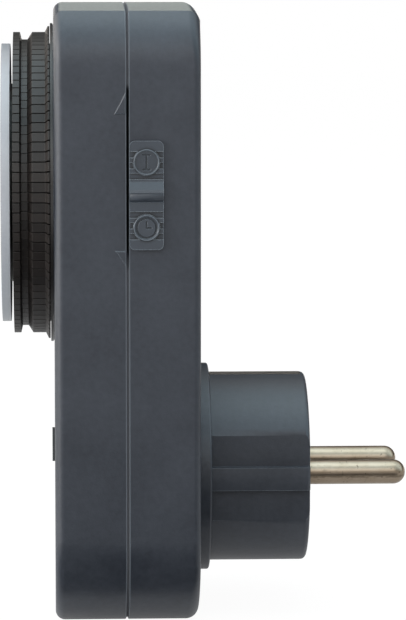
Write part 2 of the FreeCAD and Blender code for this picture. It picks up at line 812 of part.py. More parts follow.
tappet = doc.addObject("PartDesign::Body", "tappet_pattern")
side_view = polygon(sketch_on(tappet, "XZ_Plane"), [
    ("disc_thickness + head_start - disc_front", "slot_rim_radius"),
    ("disc_thickness + head_start - disc_front", "tappet_head_radius"),
    ("disc_thickness + waist_start - disc_front", "tappet_head_radius"),
    ("disc_thickness + waist_start + head_slope - disc_front", "tappet_neck_radius"),
    ("disc_thickness + waist_end - disc_front", "tappet_neck_radius"),
    ("disc_thickness + shoulder_start - disc_front", "tappet_head_radius"),
    ("disc_thickness + foot_start - disc_front", "tappet_head_radius"),
    ("disc_thickness + foot_start + foot_slope - disc_front", "tappet_radius"),
    ("0 - lip_thickness - lip_clearance - 2 * fit_gap", "tappet_radius"),
    ("0 - lip_thickness - lip_clearance - 2 * fit_gap", "slot_rim_radius"),
])
pad(side_view, "tappet_thickness", symmetric=True)
web = polygon(sketch_on(tappet, "XZ_Plane"), [
    ("disc_thickness + waist_start + 2 * head_slope - disc_front", "slot_floor_radius + 0.2"),
    ("disc_thickness + waist_start + 2 * head_slope - disc_front", "slot_rim_radius + 0.2"),
    ("0 - lip_thickness - lip_clearance - 2 * fit_gap", "slot_rim_radius + 0.2"),
    ("0 - lip_thickness - lip_clearance - 2 * fit_gap", "tappet_tail_radius"),
    ("tail_reach", "tappet_tail_radius"),
    ("tail_reach", "slot_floor_radius + 0.2"),
])
pad(web, "tappet_web", symmetric=True)
doc.recompute()

# Each hour has four tappets side by side. They are copies of the one tappet, turned about the dial's axis.
step = 360 / value("tappet_count")
hours = int(round(value("tappet_count") / 4))
for hour in range(hours):
    copies = []
    for quarter in range(4):
        copy = tappet.Shape.copy()
        angle = (4 * hour + quarter - 1.5) * step
        copy.rotate(FreeCAD.Vector(0, 0, 0), FreeCAD.Vector(1, 0, 0), angle)
        copies.append(copy)
    group = doc.addObject("Part::Feature", "tappets_hour_%02d" % (hour + 1))
    group.Label = group.Name
    group.Shape = Part.makeCompound(copies)
    place(group, FRONT, "0", "dial_height")
    nodes.append(group)

# Gear train from the motor to the dial


def gear(body, start, width, teeth, module, root_thickness, tip_thickness, bore):
    """A spur gear about the body's X axis, its teeth set round a plain disc."""
    root = "(%s * %s / 2 - %s)" % (module, teeth, module)
    tip = "(%s * %s / 2 + 0.7 * %s)" % (module, teeth, module)
    blank = sketch_on(body, "YZ_Plane", start)
    circle(blank, "0", "0", root)
    if bore:
        circle(blank, "0", "0", bore)
    pad(blank, width)
    tooth = polygon(sketch_on(body, "YZ_Plane", start), [
        ("0 - %s * %s" % (root_thickness, module), root + " - 0.1"),
        ("%s * %s" % (root_thickness, module), root + " - 0.1"),
        ("%s * %s" % (tip_thickness, module), tip),
        ("0 - %s * %s" % (tip_thickness, module), tip),
    ])
    return around(body, pad(tooth, width), teeth)


def meshed(first_teeth, first_turn, direction, second_teeth):
    """The turn of a second gear, in degrees, that puts its gap where the first gear's tooth is."""
    return direction + 180 - 180 / second_teeth + (direction - first_turn) * first_teeth / second_teeth


dial_gear = new_body("dial_gear")
place(dial_gear, FRONT, "0", "dial_height")
gear(
    dial_gear, GEAR_FRONT, "gear_width", "dial_gear_teeth", "dial_gear_module",
    "0.9", "0.42", "hub_radius + fit_gap / 2",
)

# The wheel and its pinion turn on a fixed axle, below and beside the dial's axis
FIRST_REACH = "((dial_gear_teeth + pinion_teeth) * dial_gear_module / 2)"
SECOND_REACH = "((wheel_teeth + pinion_teeth) * wheel_module / 2)"
WHEEL_SIDE = "(%s * sin(train_angle * 1 deg))" % FIRST_REACH
WHEEL_UP = "(dial_height - %s * cos(train_angle * 1 deg))" % FIRST_REACH
WHEEL_FRONT = "(%s + gear_width + running_gap)" % GEAR_FRONT
intermediate_wheel = new_body("intermediate_wheel")
place(intermediate_wheel, FRONT, WHEEL_SIDE, WHEEL_UP)
gear(
    intermediate_wheel, GEAR_FRONT, "gear_width + running_gap", "pinion_teeth", "dial_gear_module",
    "0.62", "0.3", "axle_radius + fit_gap",
)
gear(
    intermediate_wheel, WHEEL_FRONT, "wheel_width", "wheel_teeth", "wheel_module",
    "0.9", "0.42", "axle_radius + fit_gap",
)
wheel_turn = meshed(value("dial_gear_teeth"), 0, 180 + value("train_angle"), value("pinion_teeth"))
turn(intermediate_wheel, wheel_turn)
motor_pinion = new_body("motor_pinion")
place(motor_pinion, FRONT, WHEEL_SIDE, WHEEL_UP + " + " + SECOND_REACH)
turn(motor_pinion, meshed(value("wheel_teeth"), wheel_turn, 0, value("pinion_teeth")))
gear(motor_pinion, WHEEL_FRONT, "wheel_width", "pinion_teeth", "wheel_module", "0.62", "0.3", "")
shaft = circle(sketch_on(motor_pinion, "YZ_Plane", WHEEL_FRONT), "0", "0", "small_screw_radius")
pad(shaft, "wheel_width + plate_thickness + 3")

intermediate_axle = new_body("intermediate_axle")
place(intermediate_axle, FRONT, WHEEL_SIDE, WHEEL_UP)
turned(intermediate_axle, [
    (GEAR_FRONT + " - fit_gap", "0"),
    (GEAR_FRONT + " - fit_gap", "axle_radius"),
    (PLATE_FRONT + " + plate_thickness", "axle_radius"),
    (PLATE_FRONT + " + plate_thickness", "0"),
])

# Movement plate with holes for the spindle, the axle, the motor's shaft and the screws

movement_plate = new_body("movement_plate")
place(movement_plate, FRONT + " + plate_setback")
pad(
    rectangle(
        sketch_on(movement_plate, "YZ_Plane"),
        "0 - plate_left", "plate_right", "dial_height - plate_low", "dial_height + plate_high",
    ),
    "plate_thickness",
)
soften(movement_plate, "Fillet", "plate_inset - 1", along_x)
drilled = sketch_on(movement_plate, "YZ_Plane")
circle(drilled, "0", "dial_height", "spindle_radius - 1 + fit_gap / 2")
circle(drilled, WHEEL_SIDE, WHEEL_UP, "axle_radius + fit_gap / 2")
circle(drilled, WHEEL_SIDE, WHEEL_UP + " + " + SECOND_REACH, "small_screw_radius + 2 * running_gap")
MOTOR_UP = "(dial_height - motor_drop)"
circle(drilled, "motor_side", MOTOR_UP + " + lug_offset", "small_screw_radius + fit_gap")
circle(drilled, "motor_side", MOTOR_UP + " - lug_offset", "small_screw_radius + fit_gap")
at_the_posts(drilled, "small_screw_radius + fit_gap")
pocket(drilled, "plate_thickness", forwards=True)

plate_screws = new_body("plate_screws")
plate_screws.AllowCompound = True
place(plate_screws, FRONT + " + plate_setback - fit_gap")
pad(
    at_the_posts(sketch_on(plate_screws, "YZ_Plane"), "small_head_radius"),
    "small_head_depth", backwards=True,
)
pad(
    at_the_posts(sketch_on(plate_screws, "YZ_Plane", "0 - small_head_depth"), "small_screw_radius"),
    "small_head_depth + plate_thickness + plate_screw_reach",
)

# Motor: a round can with two lugs, a hole for its shaft, and the screws through the lugs

motor = new_body("motor")
place(motor, PLATE_BACK + " + 2 * fit_gap")
pad(circle(sketch_on(motor, "YZ_Plane"), "motor_side", MOTOR_UP, "motor_radius"), "motor_depth")
soften(motor, "Fillet", "edge_round / 2", lambda edge: edge.BoundBox.XMax - edge.BoundBox.XMin < 1e-4)
lugs = rectangle(
    sketch_on(motor, "YZ_Plane"),
    "motor_side - lug_radius", "motor_side + lug_radius",
    MOTOR_UP + " - lug_offset - lug_radius", MOTOR_UP + " + lug_offset + lug_radius",
)
pad(lugs, "lug_thickness")
drilled = sketch_on(motor, "YZ_Plane")
circle(drilled, "motor_side", MOTOR_UP + " + lug_offset", "small_screw_radius + fit_gap")
circle(drilled, "motor_side", MOTOR_UP + " - lug_offset", "small_screw_radius + fit_gap")
pocket(drilled, "lug_thickness", forwards=True)
pocket(
    circle(
        sketch_on(motor, "YZ_Plane"), WHEEL_SIDE, WHEEL_UP + " + " + SECOND_REACH,
        "small_screw_radius + fit_gap",
    ),
    "4", forwards=True,
)

motor_screws = new_body("motor_screws")
motor_screws.AllowCompound = True
place(motor_screws, PLATE_BACK + " + lug_thickness + 3 * fit_gap")
for start, length, radius, backwards in (
    ("0", "small_head_depth", "small_head_radius", False),
    ("0.5", "0.5 + lug_thickness + plate_thickness", "small_screw_radius", True),
):
    pair = sketch_on(motor_screws, "YZ_Plane", start)
    circle(pair, "motor_side", MOTOR_UP + " + lug_offset", radius)
    circle(pair, "motor_side", MOTOR_UP + " - lug_offset", radius)
    pad(pair, length, backwards=backwards)

# Switch: a block with two ears that hold the lever's pivot pin

NOSE_TIP = "(" + FRONT + " + tail_reach + running_gap)"
LEVER_BACK = "(" + FRONT + " + plate_setback - 0.6)"
SWITCH_FRONT = "(" + LEVER_BACK + " + 1)"
PIVOT_ALONG = "(" + LEVER_BACK + " - lever_depth / 2)"
PIVOT_UP = "(dial_height + lever_drop)"
switch_body = new_body("switch_body")
place(switch_body, "0", "0 - switch_side")
pad(
    rectangle(
        sketch_on(switch_body, "XZ_Plane"),
        SWITCH_FRONT, REAR + " - wall - 2 * fit_gap",
        "dial_height + switch_low", "dial_height + switch_high",
    ),
    "switch_width", symmetric=True,
)
ears = rectangle(
    sketch_on(switch_body, "XZ_Plane"),
    SWITCH_FRONT + " - ear_depth", SWITCH_FRONT + " + 1",
    PIVOT_UP + " - ear_height / 2", PIVOT_UP + " + ear_height / 2",
)
pad(ears, "switch_width", symmetric=True)
gap = rectangle(
    sketch_on(switch_body, "XZ_Plane"),
    SWITCH_FRONT + " - ear_depth - 1", SWITCH_FRONT,
    PIVOT_UP + " - ear_height", PIVOT_UP + " + ear_height",
)
pocket(gap, "switch_width - 2 * ear_thickness", symmetric=True)
pocket(
    circle(sketch_on(switch_body, "XZ_Plane"), PIVOT_ALONG, PIVOT_UP, "pivot_radius + fit_gap / 2"),
    "switch_width + 1", symmetric=True,
)
PLUNGER_UP = "(dial_height + lever_drop - plunger_drop)"
pocket(
    circle(sketch_on(switch_body, "YZ_Plane", SWITCH_FRONT), "0", PLUNGER_UP, "plunger_radius + fit_gap"),
    "plunger_length + tappet_travel", forwards=True,
)

lever_pin = new_body("lever_pin")
place(lever_pin, PIVOT_ALONG, "0 - switch_side", PIVOT_UP)
pad(circle(sketch_on(lever_pin, "XZ_Plane"), "0", "0", "pivot_radius"), "switch_width", symmetric=True)

# Lever: hangs from its pin, with a nose towards the tappets' tails
switch_lever = new_body("switch_lever")
place(switch_lever, "0", "0 - switch_side")
blade = polygon(sketch_on(switch_lever, "XZ_Plane"), [
    (LEVER_BACK, PIVOT_UP + " + lever_depth"),
    (LEVER_BACK + " - lever_depth", PIVOT_UP + " + lever_depth"),
    (LEVER_BACK + " - lever_depth", "dial_height + nose_height"),
    (NOSE_TIP, "dial_height + nose_height / 3"),
    (NOSE_TIP, "dial_height - nose_height / 3"),
    (LEVER_BACK + " - lever_depth", "dial_height - nose_height"),
    (LEVER_BACK, "dial_height - nose_height"),
])
pad(blade, "lever_thickness", symmetric=True)
pad(
    circle(sketch_on(switch_lever, "XZ_Plane"), PIVOT_ALONG, PIVOT_UP, "pivot_radius + 0.8"),
    "lever_thickness", symmetric=True,
)
pocket(
    circle(sketch_on(switch_lever, "XZ_Plane"), PIVOT_ALONG, PIVOT_UP, "pivot_radius + fit_gap"),
    "lever_thickness + 1", symmetric=True,
)

switch_plunger = new_body("switch_plunger")
place(switch_plunger, LEVER_BACK + " + 2 * fit_gap", "0 - switch_side", PLUNGER_UP)
turned(switch_plunger, [
    ("0", "0"),
    ("0", "plunger_radius / 2"),
    ("0.5", "plunger_radius"),
    ("plunger_length", "plunger_radius"),
    ("plunger_length", "0"),
])

# Slide switch: its profile along Z is run through its width, then two round buttons and the stem are added

override_slider = new_body("override_slider")
SLIDER_FACE = "(" + HALF_WIDTH + " + fit_gap)"
place(override_slider, SLIDER_MIDDLE, "0 - " + SLIDER_FACE, "slider_rest")
LOW = "(slider_height - rib_depth)"
profile = [("0", "0"), ("0 - slider_height", "0")]
profile += [("0 - slider_height", "lower_ribs"), ("0 - " + LOW, "lower_ribs")]
for number in (1, 2):
    edge = "lower_ribs + %d * rib_pitch" % number
    profile += [("0 - " + LOW, edge + " - rib_width"), ("0 - slider_height", edge + " - rib_width")]
    profile += [("0 - slider_height", edge), ("0 - " + LOW, edge)]
LAST_RIB = "lower_ribs + 3 * rib_pitch - rib_width"
profile += [("0 - " + LOW, LAST_RIB), ("0 - slider_height", LAST_RIB)]
# The grip: steep below, rounded at its ridge and sloping above
profile += [("0 - slider_height", "grip_foot"), ("0.5 * slider_height - grip_height", "grip_foot + 0.5")]
profile += [("0.1 - grip_height", "grip_ridge - 0.6"), ("0 - grip_height", "grip_ridge")]
profile += [("0.15 - grip_height", "grip_ridge + 0.5")]
profile += [("0 - slider_height", "grip_top"), ("0 - slider_height", "upper_ribs")]
profile += [("0 - " + LOW, "upper_ribs")]
for number in (1, 2):
    edge = "upper_ribs + %d * rib_pitch" % number
    profile += [("0 - " + LOW, edge + " - rib_width"), ("0 - slider_height", edge + " - rib_width")]
    profile += [("0 - slider_height", edge), ("0 - " + LOW, edge)]
LAST_RIB = "upper_ribs + 3 * rib_pitch - rib_width"
profile += [("0 - " + LOW, LAST_RIB), ("0 - slider_height", LAST_RIB)]
profile += [("0 - slider_height", "slider_length"), ("0", "slider_length")]
pad(polygon(sketch_on(override_slider, "YZ_Plane"), profile), "slider_width", symmetric=True)


def slider_corner(edge):
    """Does the edge stand at one of the slider's four corners?"""
    box = edge.BoundBox
    across = box.XLength < 1e-4 and abs(abs(box.XMin) - value("slider_width") / 2) < 1e-4
    ends = box.ZLength < 1e-4 and (abs(box.ZMin) < 1e-4 or abs(box.ZMin - value("slider_length")) < 1e-4)
    return across and ends


soften(override_slider, "Fillet", "slider_corner", slider_corner)
buttons = sketch_on(override_slider, "XZ_Plane")
circle(buttons, "0", "lower_ribs + rib_pitch + 0.2", "button_radius")
circle(buttons, "0", "upper_ribs + 1.6 * rib_pitch", "button_radius")
pad(buttons, "slider_height")
STEM_DEPTH = "(wall + 4 * fit_gap)"
stem = rectangle(
    sketch_on(override_slider, "XZ_Plane", "0.2"),
    "0 - stem_width / 2", "stem_width / 2", "stem_start", "stem_start + stem_length",
)
pad(stem, STEM_DEPTH + " + 0.2", backwards=True)

# Carriage: the plate inside the wall that holds the slider, fixed to its stem

slider_carriage = new_body("slider_carriage")
CARRIAGE_FACE = "(0 - " + SLIDER_FACE + " + " + STEM_DEPTH + " + fit_gap)"
place(slider_carriage, SLIDER_MIDDLE, CARRIAGE_FACE, "slider_rest")
pad(
    rectangle(
        sketch_on(slider_carriage, "XZ_Plane"),
        "0 - stem_width / 2 - carriage_margin", "stem_width / 2 + carriage_margin",
        "stem_start - carriage_margin", "stem_start + stem_length + carriage_margin",
    ),
    "carriage_thickness", backwards=True,
)

# Strips between the pins, the switch and the contacts

BAR_BACK = "(0 - plug_face - fit_gap - pin_collar_depth - fit_gap)"


def eye(body, across, outer="pin_collar_radius"):
    """A ring round a pin's stub, against its collar."""
    ring = sketch_on(body, "YZ_Plane", BAR_BACK)
    circle(ring, across, "0", outer)
    circle(ring, across, "0", "pin_stub_radius + fit_gap")
    pad(ring, "busbar_thickness", backwards=True)


live_busbar = new_body("live_busbar")
eye(live_busbar, "0 - pin_spacing / 2")
LEG_SIDE = "(pin_spacing / 2 + pin_collar_radius - busbar_thickness)"
pad(
    rectangle(
        sketch_on(live_busbar, "YZ_Plane", BAR_BACK),
        "0 - " + LEG_SIDE + " - busbar_thickness", "0 - " + LEG_SIDE,
        "0 - busbar_width / 2", "busbar_width / 2",
    ),
    BAR_BACK + " - " + REAR + " + wall + 1.5 + busbar_thickness", backwards=True,
)
RUN_BACK = "(" + REAR + " - wall - 1.5)"
pad(
    rectangle(
        sketch_on(live_busbar, "YZ_Plane", RUN_BACK),
        "0 - riser_side - busbar_width / 2", "0 - " + LEG_SIDE,
        "0 - busbar_width / 2", "busbar_width / 2",
    ),
    "busbar_thickness", backwards=True,
)
pad(
    rectangle(
        sketch_on(live_busbar, "YZ_Plane", RUN_BACK),
        "0 - riser_side - busbar_width / 2", "busbar_width / 2 - riser_side",
        "0 - busbar_width / 2", "dial_height + switch_low - 2 * fit_gap",
    ),
    "busbar_thickness", backwards=True,
)

switched_busbar = new_body("switched_busbar")
BAR_UP = "(pin_spacing / 2)"
pad(
    rectangle(
        sketch_on(switched_busbar, "YZ_Plane", FLOOR_BACK + " + 4 * fit_gap + 0.3"),
        "0 - riser_side - busbar_width / 2", "0 - contact_bore - contact_wall - fit_gap",
        BAR_UP + " - busbar_width / 2", BAR_UP + " + busbar_width / 2",
    ),
    "busbar_thickness",
)
pad(
    rectangle(
        sketch_on(switched_busbar, "YZ_Plane", FLOOR_BACK + " + 4 * fit_gap + 0.3"),
        "0 - riser_side - busbar_width / 2", "busbar_width / 2 - riser_side",
        BAR_UP + " - busbar_width / 2", "dial_height + switch_low - 2 * fit_gap",
    ),
    "busbar_thickness",
)

neutral_busbar = new_body("neutral_busbar")
eye(neutral_busbar, "pin_spacing / 2")
pad(
    polygon(sketch_on(neutral_busbar, "YZ_Plane", BAR_BACK), [
        ("pin_spacing / 2 - 0.5", "0 - pin_stub_radius - 0.5"),
        ("pin_spacing / 2 + 1.5", "0 - pin_stub_radius - 0.5"),
        ("busbar_width / 2", "0 - pin_spacing / 2 - busbar_width / 2"),
        ("0 - busbar_width / 2", "0 - pin_spacing / 2 - busbar_width / 2"),
        ("0 - busbar_width / 2", "0 - pin_spacing / 2 + busbar_width / 2"),
    ]),
    "busbar_thickness", backwards=True,
)
pad(
    rectangle(
        sketch_on(neutral_busbar, "YZ_Plane", BAR_BACK),
        "0 - busbar_width / 2", "busbar_width / 2",
        "0 - pin_spacing / 2 - busbar_thickness / 2", "busbar_thickness / 2 - pin_spacing / 2",
    ),
    BAR_BACK + " - " + FLOOR_BACK + " - 4 * fit_gap - contact_length - fit_gap", backwards=True,
)

# Everything is worked out and checked before any file is written

doc.recompute()
failed = []
for item in doc.Objects:
    if "Invalid" in item.State or "Error" in item.State:
        owner = item.getParentGeoFeatureGroup()
        failed.append("%s of %s" % (item.Name, owner.Label if owner else "the model"))
for item in nodes:
    if item.Shape.isNull() or not item.Shape.isValid():
        failed.append("the shape of " + item.Label)
if failed:
    raise RuntimeError("failed: " + ", ".join(failed))
os.makedirs("parts", exist_ok=True)
for item in nodes:
    item.Shape.exportStep("parts/%s.step" % item.Label)
    print("%-20s %2d solids %9.1f mm3" % (item.Label, len(item.Shape.Solids), item.Shape.Volume))
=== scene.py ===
# %% [markdown]
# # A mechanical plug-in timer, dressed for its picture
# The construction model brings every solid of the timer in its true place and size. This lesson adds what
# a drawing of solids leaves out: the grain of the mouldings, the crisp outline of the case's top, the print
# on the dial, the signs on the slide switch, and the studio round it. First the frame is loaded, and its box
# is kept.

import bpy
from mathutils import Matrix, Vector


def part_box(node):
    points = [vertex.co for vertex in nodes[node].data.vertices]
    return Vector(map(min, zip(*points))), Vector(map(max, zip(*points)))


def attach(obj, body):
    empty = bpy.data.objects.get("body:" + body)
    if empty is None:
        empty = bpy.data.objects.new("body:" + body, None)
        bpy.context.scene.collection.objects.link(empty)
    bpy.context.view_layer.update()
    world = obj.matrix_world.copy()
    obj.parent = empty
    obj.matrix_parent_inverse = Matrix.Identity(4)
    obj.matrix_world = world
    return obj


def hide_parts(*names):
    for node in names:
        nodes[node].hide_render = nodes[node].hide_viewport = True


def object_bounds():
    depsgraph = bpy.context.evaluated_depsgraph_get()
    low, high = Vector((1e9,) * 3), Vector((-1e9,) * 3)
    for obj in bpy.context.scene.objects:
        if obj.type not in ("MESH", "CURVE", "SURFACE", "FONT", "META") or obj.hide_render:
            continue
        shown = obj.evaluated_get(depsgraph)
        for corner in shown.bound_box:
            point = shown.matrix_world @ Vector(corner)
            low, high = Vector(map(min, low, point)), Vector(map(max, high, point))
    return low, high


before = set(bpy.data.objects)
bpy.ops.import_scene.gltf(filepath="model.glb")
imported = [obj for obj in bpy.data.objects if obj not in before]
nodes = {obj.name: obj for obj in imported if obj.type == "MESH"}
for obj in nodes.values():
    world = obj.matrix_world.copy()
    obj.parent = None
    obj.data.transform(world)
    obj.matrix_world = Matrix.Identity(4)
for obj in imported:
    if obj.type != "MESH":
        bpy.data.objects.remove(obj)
cad_box = [list(corner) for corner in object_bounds()]
print("construction box in mm", [[round(1000 * v, 2) for v in corner] for corner in cad_box])

# %% Tools and units
import math
import bmesh
import bpy
import numpy as np
from mathutils import Vector

MM = 0.001
scene = bpy.context.scene


def show(name, data):
    """A new object in the scene."""
    made = bpy.data.objects.new(name, data)
    scene.collection.objects.link(made)
    return made


print("the frame has", len(nodes), "solids")

# %% [markdown]
# ## The camera
# The picture looks almost square on to the side with the slide switch, from a little above, so that only a
# sliver of the top shows. The lens is long: the object stands about 0.65 m away and fills the height of the
# frame. The places of the case's corners, the pins' ends and the dial's rim in the picture gave the camera's
# place, its turn and its focal length.

# %% Camera
PICTURE_HEIGHT = 620
FOCAL_PIXELS = 3439.139
SENSOR = 36
CAMERA_PLACE = (-0.050032, -0.680, 0.102289)
LOOK_DOWN = 5.957
LOOK_RIGHT = 2.511
lens = bpy.data.cameras.new("studio_camera")
lens.sensor_fit = "VERTICAL"
lens.sensor_height = SENSOR
lens.lens = FOCAL_PIXELS * SENSOR / PICTURE_HEIGHT
lens.clip_start = 0.01
camera = show("studio_camera", lens)
camera.location = CAMERA_PLACE
camera.rotation_euler = (math.radians(90 - LOOK_DOWN), 0, math.radians(-LOOK_RIGHT))
scene.camera = camera
scene.view_settings.view_transform = "Standard"
print("lens", round(lens.lens, 2), "mm on a sensor of", SENSOR, "mm")

# %% [markdown]
# ## Shader maths in words
# Every finish below is a small sum of patterns. To write such a sum as it would be said, one class wraps a
# socket and turns the signs +, -, * and / into Math nodes. A second class stands for the node tree, and its
# method add makes any other node: its type, then its settings, then the values or links of its sockets.

# %% A socket that can be written in sums
class Wire:
    """A socket of a node tree. A sign between two wires, or a wire and a number, adds one Math node."""

    def __init__(self, bench, socket):
        self.bench = bench
        self.socket = socket

    def __add__(self, other):
        return self.bench.sum("ADD", self, other)

    __radd__ = __add__

    def __sub__(self, other):
        return self.bench.sum("SUBTRACT", self, other)

    def __rsub__(self, other):
        return self.bench.sum("SUBTRACT", other, self)

    def __mul__(self, other):
        return self.bench.sum("MULTIPLY", self, other)

    def __truediv__(self, other):
        return self.bench.sum("DIVIDE", self, other)


# %% A node tree on the bench
class Bench:
    """A node tree that is being wired."""

    def __init__(self, tree):
        self.tree = tree
        tree.nodes.clear()

    def add(self, kind, settings=None, values=None, out=0):
        """Adds a node: its settings are set first, then the values or links of its sockets."""
        node = self.tree.nodes.new(kind)
        for name, value in (settings or {}).items():
            if name == "stops":
                while len(node.color_ramp.elements) < len(value):
                    node.color_ramp.elements.new(0.5)
                for stop, (place, colour) in zip(node.color_ramp.elements, value):
                    stop.position, stop.color = place, colour
            else:
                setattr(node, name, value)
        for name, value in (values or {}).items():
            if isinstance(value, Wire):
                self.tree.links.new(value.socket, node.inputs[name])
            else:
                node.inputs[name].default_value = value
        return Wire(self, node.outputs[out])

    def end(self, kind, surface):
        """Adds the output node and wires the finished shader to it."""
        last = self.tree.nodes.new(kind)
        self.tree.links.new(surface.socket, last.inputs["Surface"])

    def sum(self, operation, first, second=0):
        """A Math node on two values, or on one where the operation takes one."""
        return self.add("ShaderNodeMath", {"operation": operation}, {0: first, 1: second})

    def between(self, value, low, high):
        """0 where value is below low, 1 above high, and a straight rise between."""
        return self.add("ShaderNodeMapRange", None, {"Value": value, "From Min": low, "From Max": high})

    def blend(self, share, first, second):
        """The first colour where share is 0, and the second where it is 1."""
        return self.add("ShaderNodeMix", {"data_type": "RGBA"}, {0: share, 6: first, 7: second}, out=2)

    def place(self):
        """Object coordinates, in metres."""
        return self.add("ShaderNodeTexCoord", out=3)

    def part(self, vector, number):
        """One of a vector's three parts: 0 for X, 1 for Y and 2 for Z."""
        return self.add("ShaderNodeSeparateXYZ", None, {"Vector": vector}, number)

    def rays(self):
        """1 for a ray from the camera, for one from a glossy surface, and for one through a clear piece."""
        return [self.add("ShaderNodeLightPath", out=number) for number in (0, 3, 6)]

    def noise(self, place, size, detail, rough):
        """Cloudy noise whose lumps are about size metres wide, from 0 to 1."""
        values = {"Vector": place, "Scale": 1 / size, "Detail": detail, "Roughness": rough}
        return self.add("ShaderNodeTexNoise", None, values)

    def stretched(self, place, x, y, z):
        """The same place with its three directions scaled, which draws a pattern out along one of them."""
        return self.add("ShaderNodeVectorMath", {"operation": "MULTIPLY"}, {0: place, 1: (x, y, z)})


def new_material(name):
    """An empty material and its bench."""
    material = bpy.data.materials.new(name)
    material.use_nodes = True
    return material, Bench(material.node_tree)


def linear(red, green, blue):
    """A colour as it looks on a screen, 0 to 255, as the linear light that a shader works with."""
    screen = np.array([red, green, blue]) / 255
    light = np.where(screen <= 0.04045, screen / 12.92, ((screen + 0.055) / 1.055) ** 2.4)
    return (*light.tolist(), 1.0)


# %% [markdown]
# ## The studio
# The real picture was taken on white, with soft light from above: the top of every round form is lighter, and
# flat sides stay dark. A broad lamp hangs over the object, a second stands on the camera's side and a third
# beyond the dial, and the world fills the rest. The lamps stay at a level at which a colour renders about as
# it is written. The background is white because the world and the floor show white to the camera. Reflections
# see a room instead: an arch of lighter and darker bands from the horizon on the camera's side, over the
# ceiling, to the horizon behind the object. These bands run along the plug and the pins in the picture.

# %% World
world = bpy.data.worlds.new("studio_world")
scene.world = world
world.use_nodes = True
bench = Bench(world.node_tree)
camera_ray, glossy_ray, clear_ray = bench.rays()
FILL_LEVEL = 0.42
WHITE = (1, 1, 1, 1)
fill = bench.add("ShaderNodeBackground", None, {"Color": WHITE, "Strength": FILL_LEVEL})
direction = bench.add("ShaderNodeTexCoord", out=0)
side, back, rise = [bench.part(direction, number) for number in range(3)]
arch = bench.sum("ARCTAN2", rise, 0 - back) / math.pi
print("world fill", FILL_LEVEL)

# %% The room in reflections
# Each band says how far round the arch it is, from 0 on the camera's side to 1 behind the object, how bright
# the room is there, and its tint. The wall beyond the dial is bright: it begins at one slant of a ray and is
# full at a steeper one.
BRIGHTEST = 4.0
WALL_BEGINS = 0.45
WALL_FULL = 0.85
COOL = np.array([0.80, 1.0, 1.08])
WARM = np.array([1.0, 0.94, 0.87])
ROOM = [
    (0.0, 0.62, WARM), (0.09, 0.68, WARM), (0.20, 1.3, COOL), (0.33, 1.9, COOL), (0.45, 2.7, COOL),
    (0.56, 2.2, COOL), (0.62, 2.1, COOL), (0.68, 1.2, WARM), (0.76, 0.6, WARM),
    (0.83, 0.04, WARM), (0.975, 0.04, WARM), (0.99, BRIGHTEST, WARM),
]


def room_light(level, tint):
    """The colour of a part of the room, as a share of its brightest part."""
    return (*(level / BRIGHTEST * tint).tolist(), 1.0)


stops = [(place, room_light(level, tint)) for place, level, tint in ROOM]
walls = bench.add("ShaderNodeValToRGB", {"stops": stops}, {"Fac": arch})
walls = bench.blend(bench.between(0 - side, WALL_BEGINS, WALL_FULL), walls, room_light(BRIGHTEST, WARM))
seen = bench.blend(glossy_ray, WHITE, walls)
strength = 1 + glossy_ray * (BRIGHTEST - 1)
white = bench.add("ShaderNodeBackground", None, {"Color": seen, "Strength": strength})
shown = bench.sum("MAXIMUM", bench.sum("MAXIMUM", camera_ray, glossy_ray), clear_ray)
sky = bench.add("ShaderNodeMixShader", None, {0: shown, 1: fill, 2: white})
bench.end("ShaderNodeOutputWorld", sky)
print("room of", len(ROOM), "bands")

# %% Lamps
AIM = Vector((-0.018, 0.0, 0.032))


def soft_lamp(name, place, width, height, watts, tint=(1, 1, 1)):
    """A flat soft box at a place, turned to face the object."""
    lamp = bpy.data.lights.new(name, "AREA")
    lamp.shape = "RECTANGLE"
    lamp.size = width
    lamp.size_y = height
    lamp.energy = watts
    lamp.color = tint
    box = show(name, lamp)
    box.location = place
    box.rotation_euler = (AIM - Vector(place)).to_track_quat("-Z", "Y").to_euler()


soft_lamp("top_lamp", (-0.10, -0.05, 0.85), 0.9, 0.5, 2.1, (0.88, 0.98, 1.0))
soft_lamp("front_lamp", (-0.1, -1.1, 0.6), 0.8, 0.6, 2.6)
soft_lamp("left_lamp", (-0.85, -0.36, 0.20), 0.5, 0.5, 4.2)
print("three soft lamps")

# %% Floor
# The paper is pale and dull. To the camera most of it glows white, and the rest of it keeps the shadow.
FLOOR_REACH = 3
GLOW = 1.10
FLOOR_LEVEL = cad_box[0][2] - 0.00002
SEEN_SHARE = 0.86
MIRRORED_SHARE = 0.5


def flat_sheet(name, left, right, near, far, level):
    """A level rectangle between two places along X and two along Y, in metres, that faces up."""
    corners = [(left, near, level), (right, near, level), (right, far, level), (left, far, level)]
    mesh = bpy.data.meshes.new(name)
    mesh.from_pydata(corners, [], [(0, 1, 2, 3)])
    return mesh


floor_mesh = flat_sheet("floor", -FLOOR_REACH, FLOOR_REACH, -FLOOR_REACH, FLOOR_REACH, FLOOR_LEVEL)
floor = show("floor", floor_mesh)
floor_paper, bench = new_material("floor_paper")
paper = bench.add("ShaderNodeBsdfDiffuse", None, {"Color": (0.88, 0.88, 0.88, 1)})
glow = bench.add("ShaderNodeEmission", None, {"Color": WHITE, "Strength": GLOW})
camera_ray, glossy_ray, clear_ray = bench.rays()
share = camera_ray * SEEN_SHARE + glossy_ray * MIRRORED_SHARE + clear_ray * SEEN_SHARE
lit = bench.add("ShaderNodeMixShader", None, {0: share, 1: paper, 2: glow})
bench.end("ShaderNodeOutputMaterial", lit)
floor_mesh.materials.append(floor_paper)
print("floor at", round(1000 * FLOOR_LEVEL, 2), "mm")

# %% [markdown]
# Two dark cards lie on the floor between the object and the camera. They show in reflections alone: one as
# the dark underside of the plug and its pins, and one as the darker foot of the case.

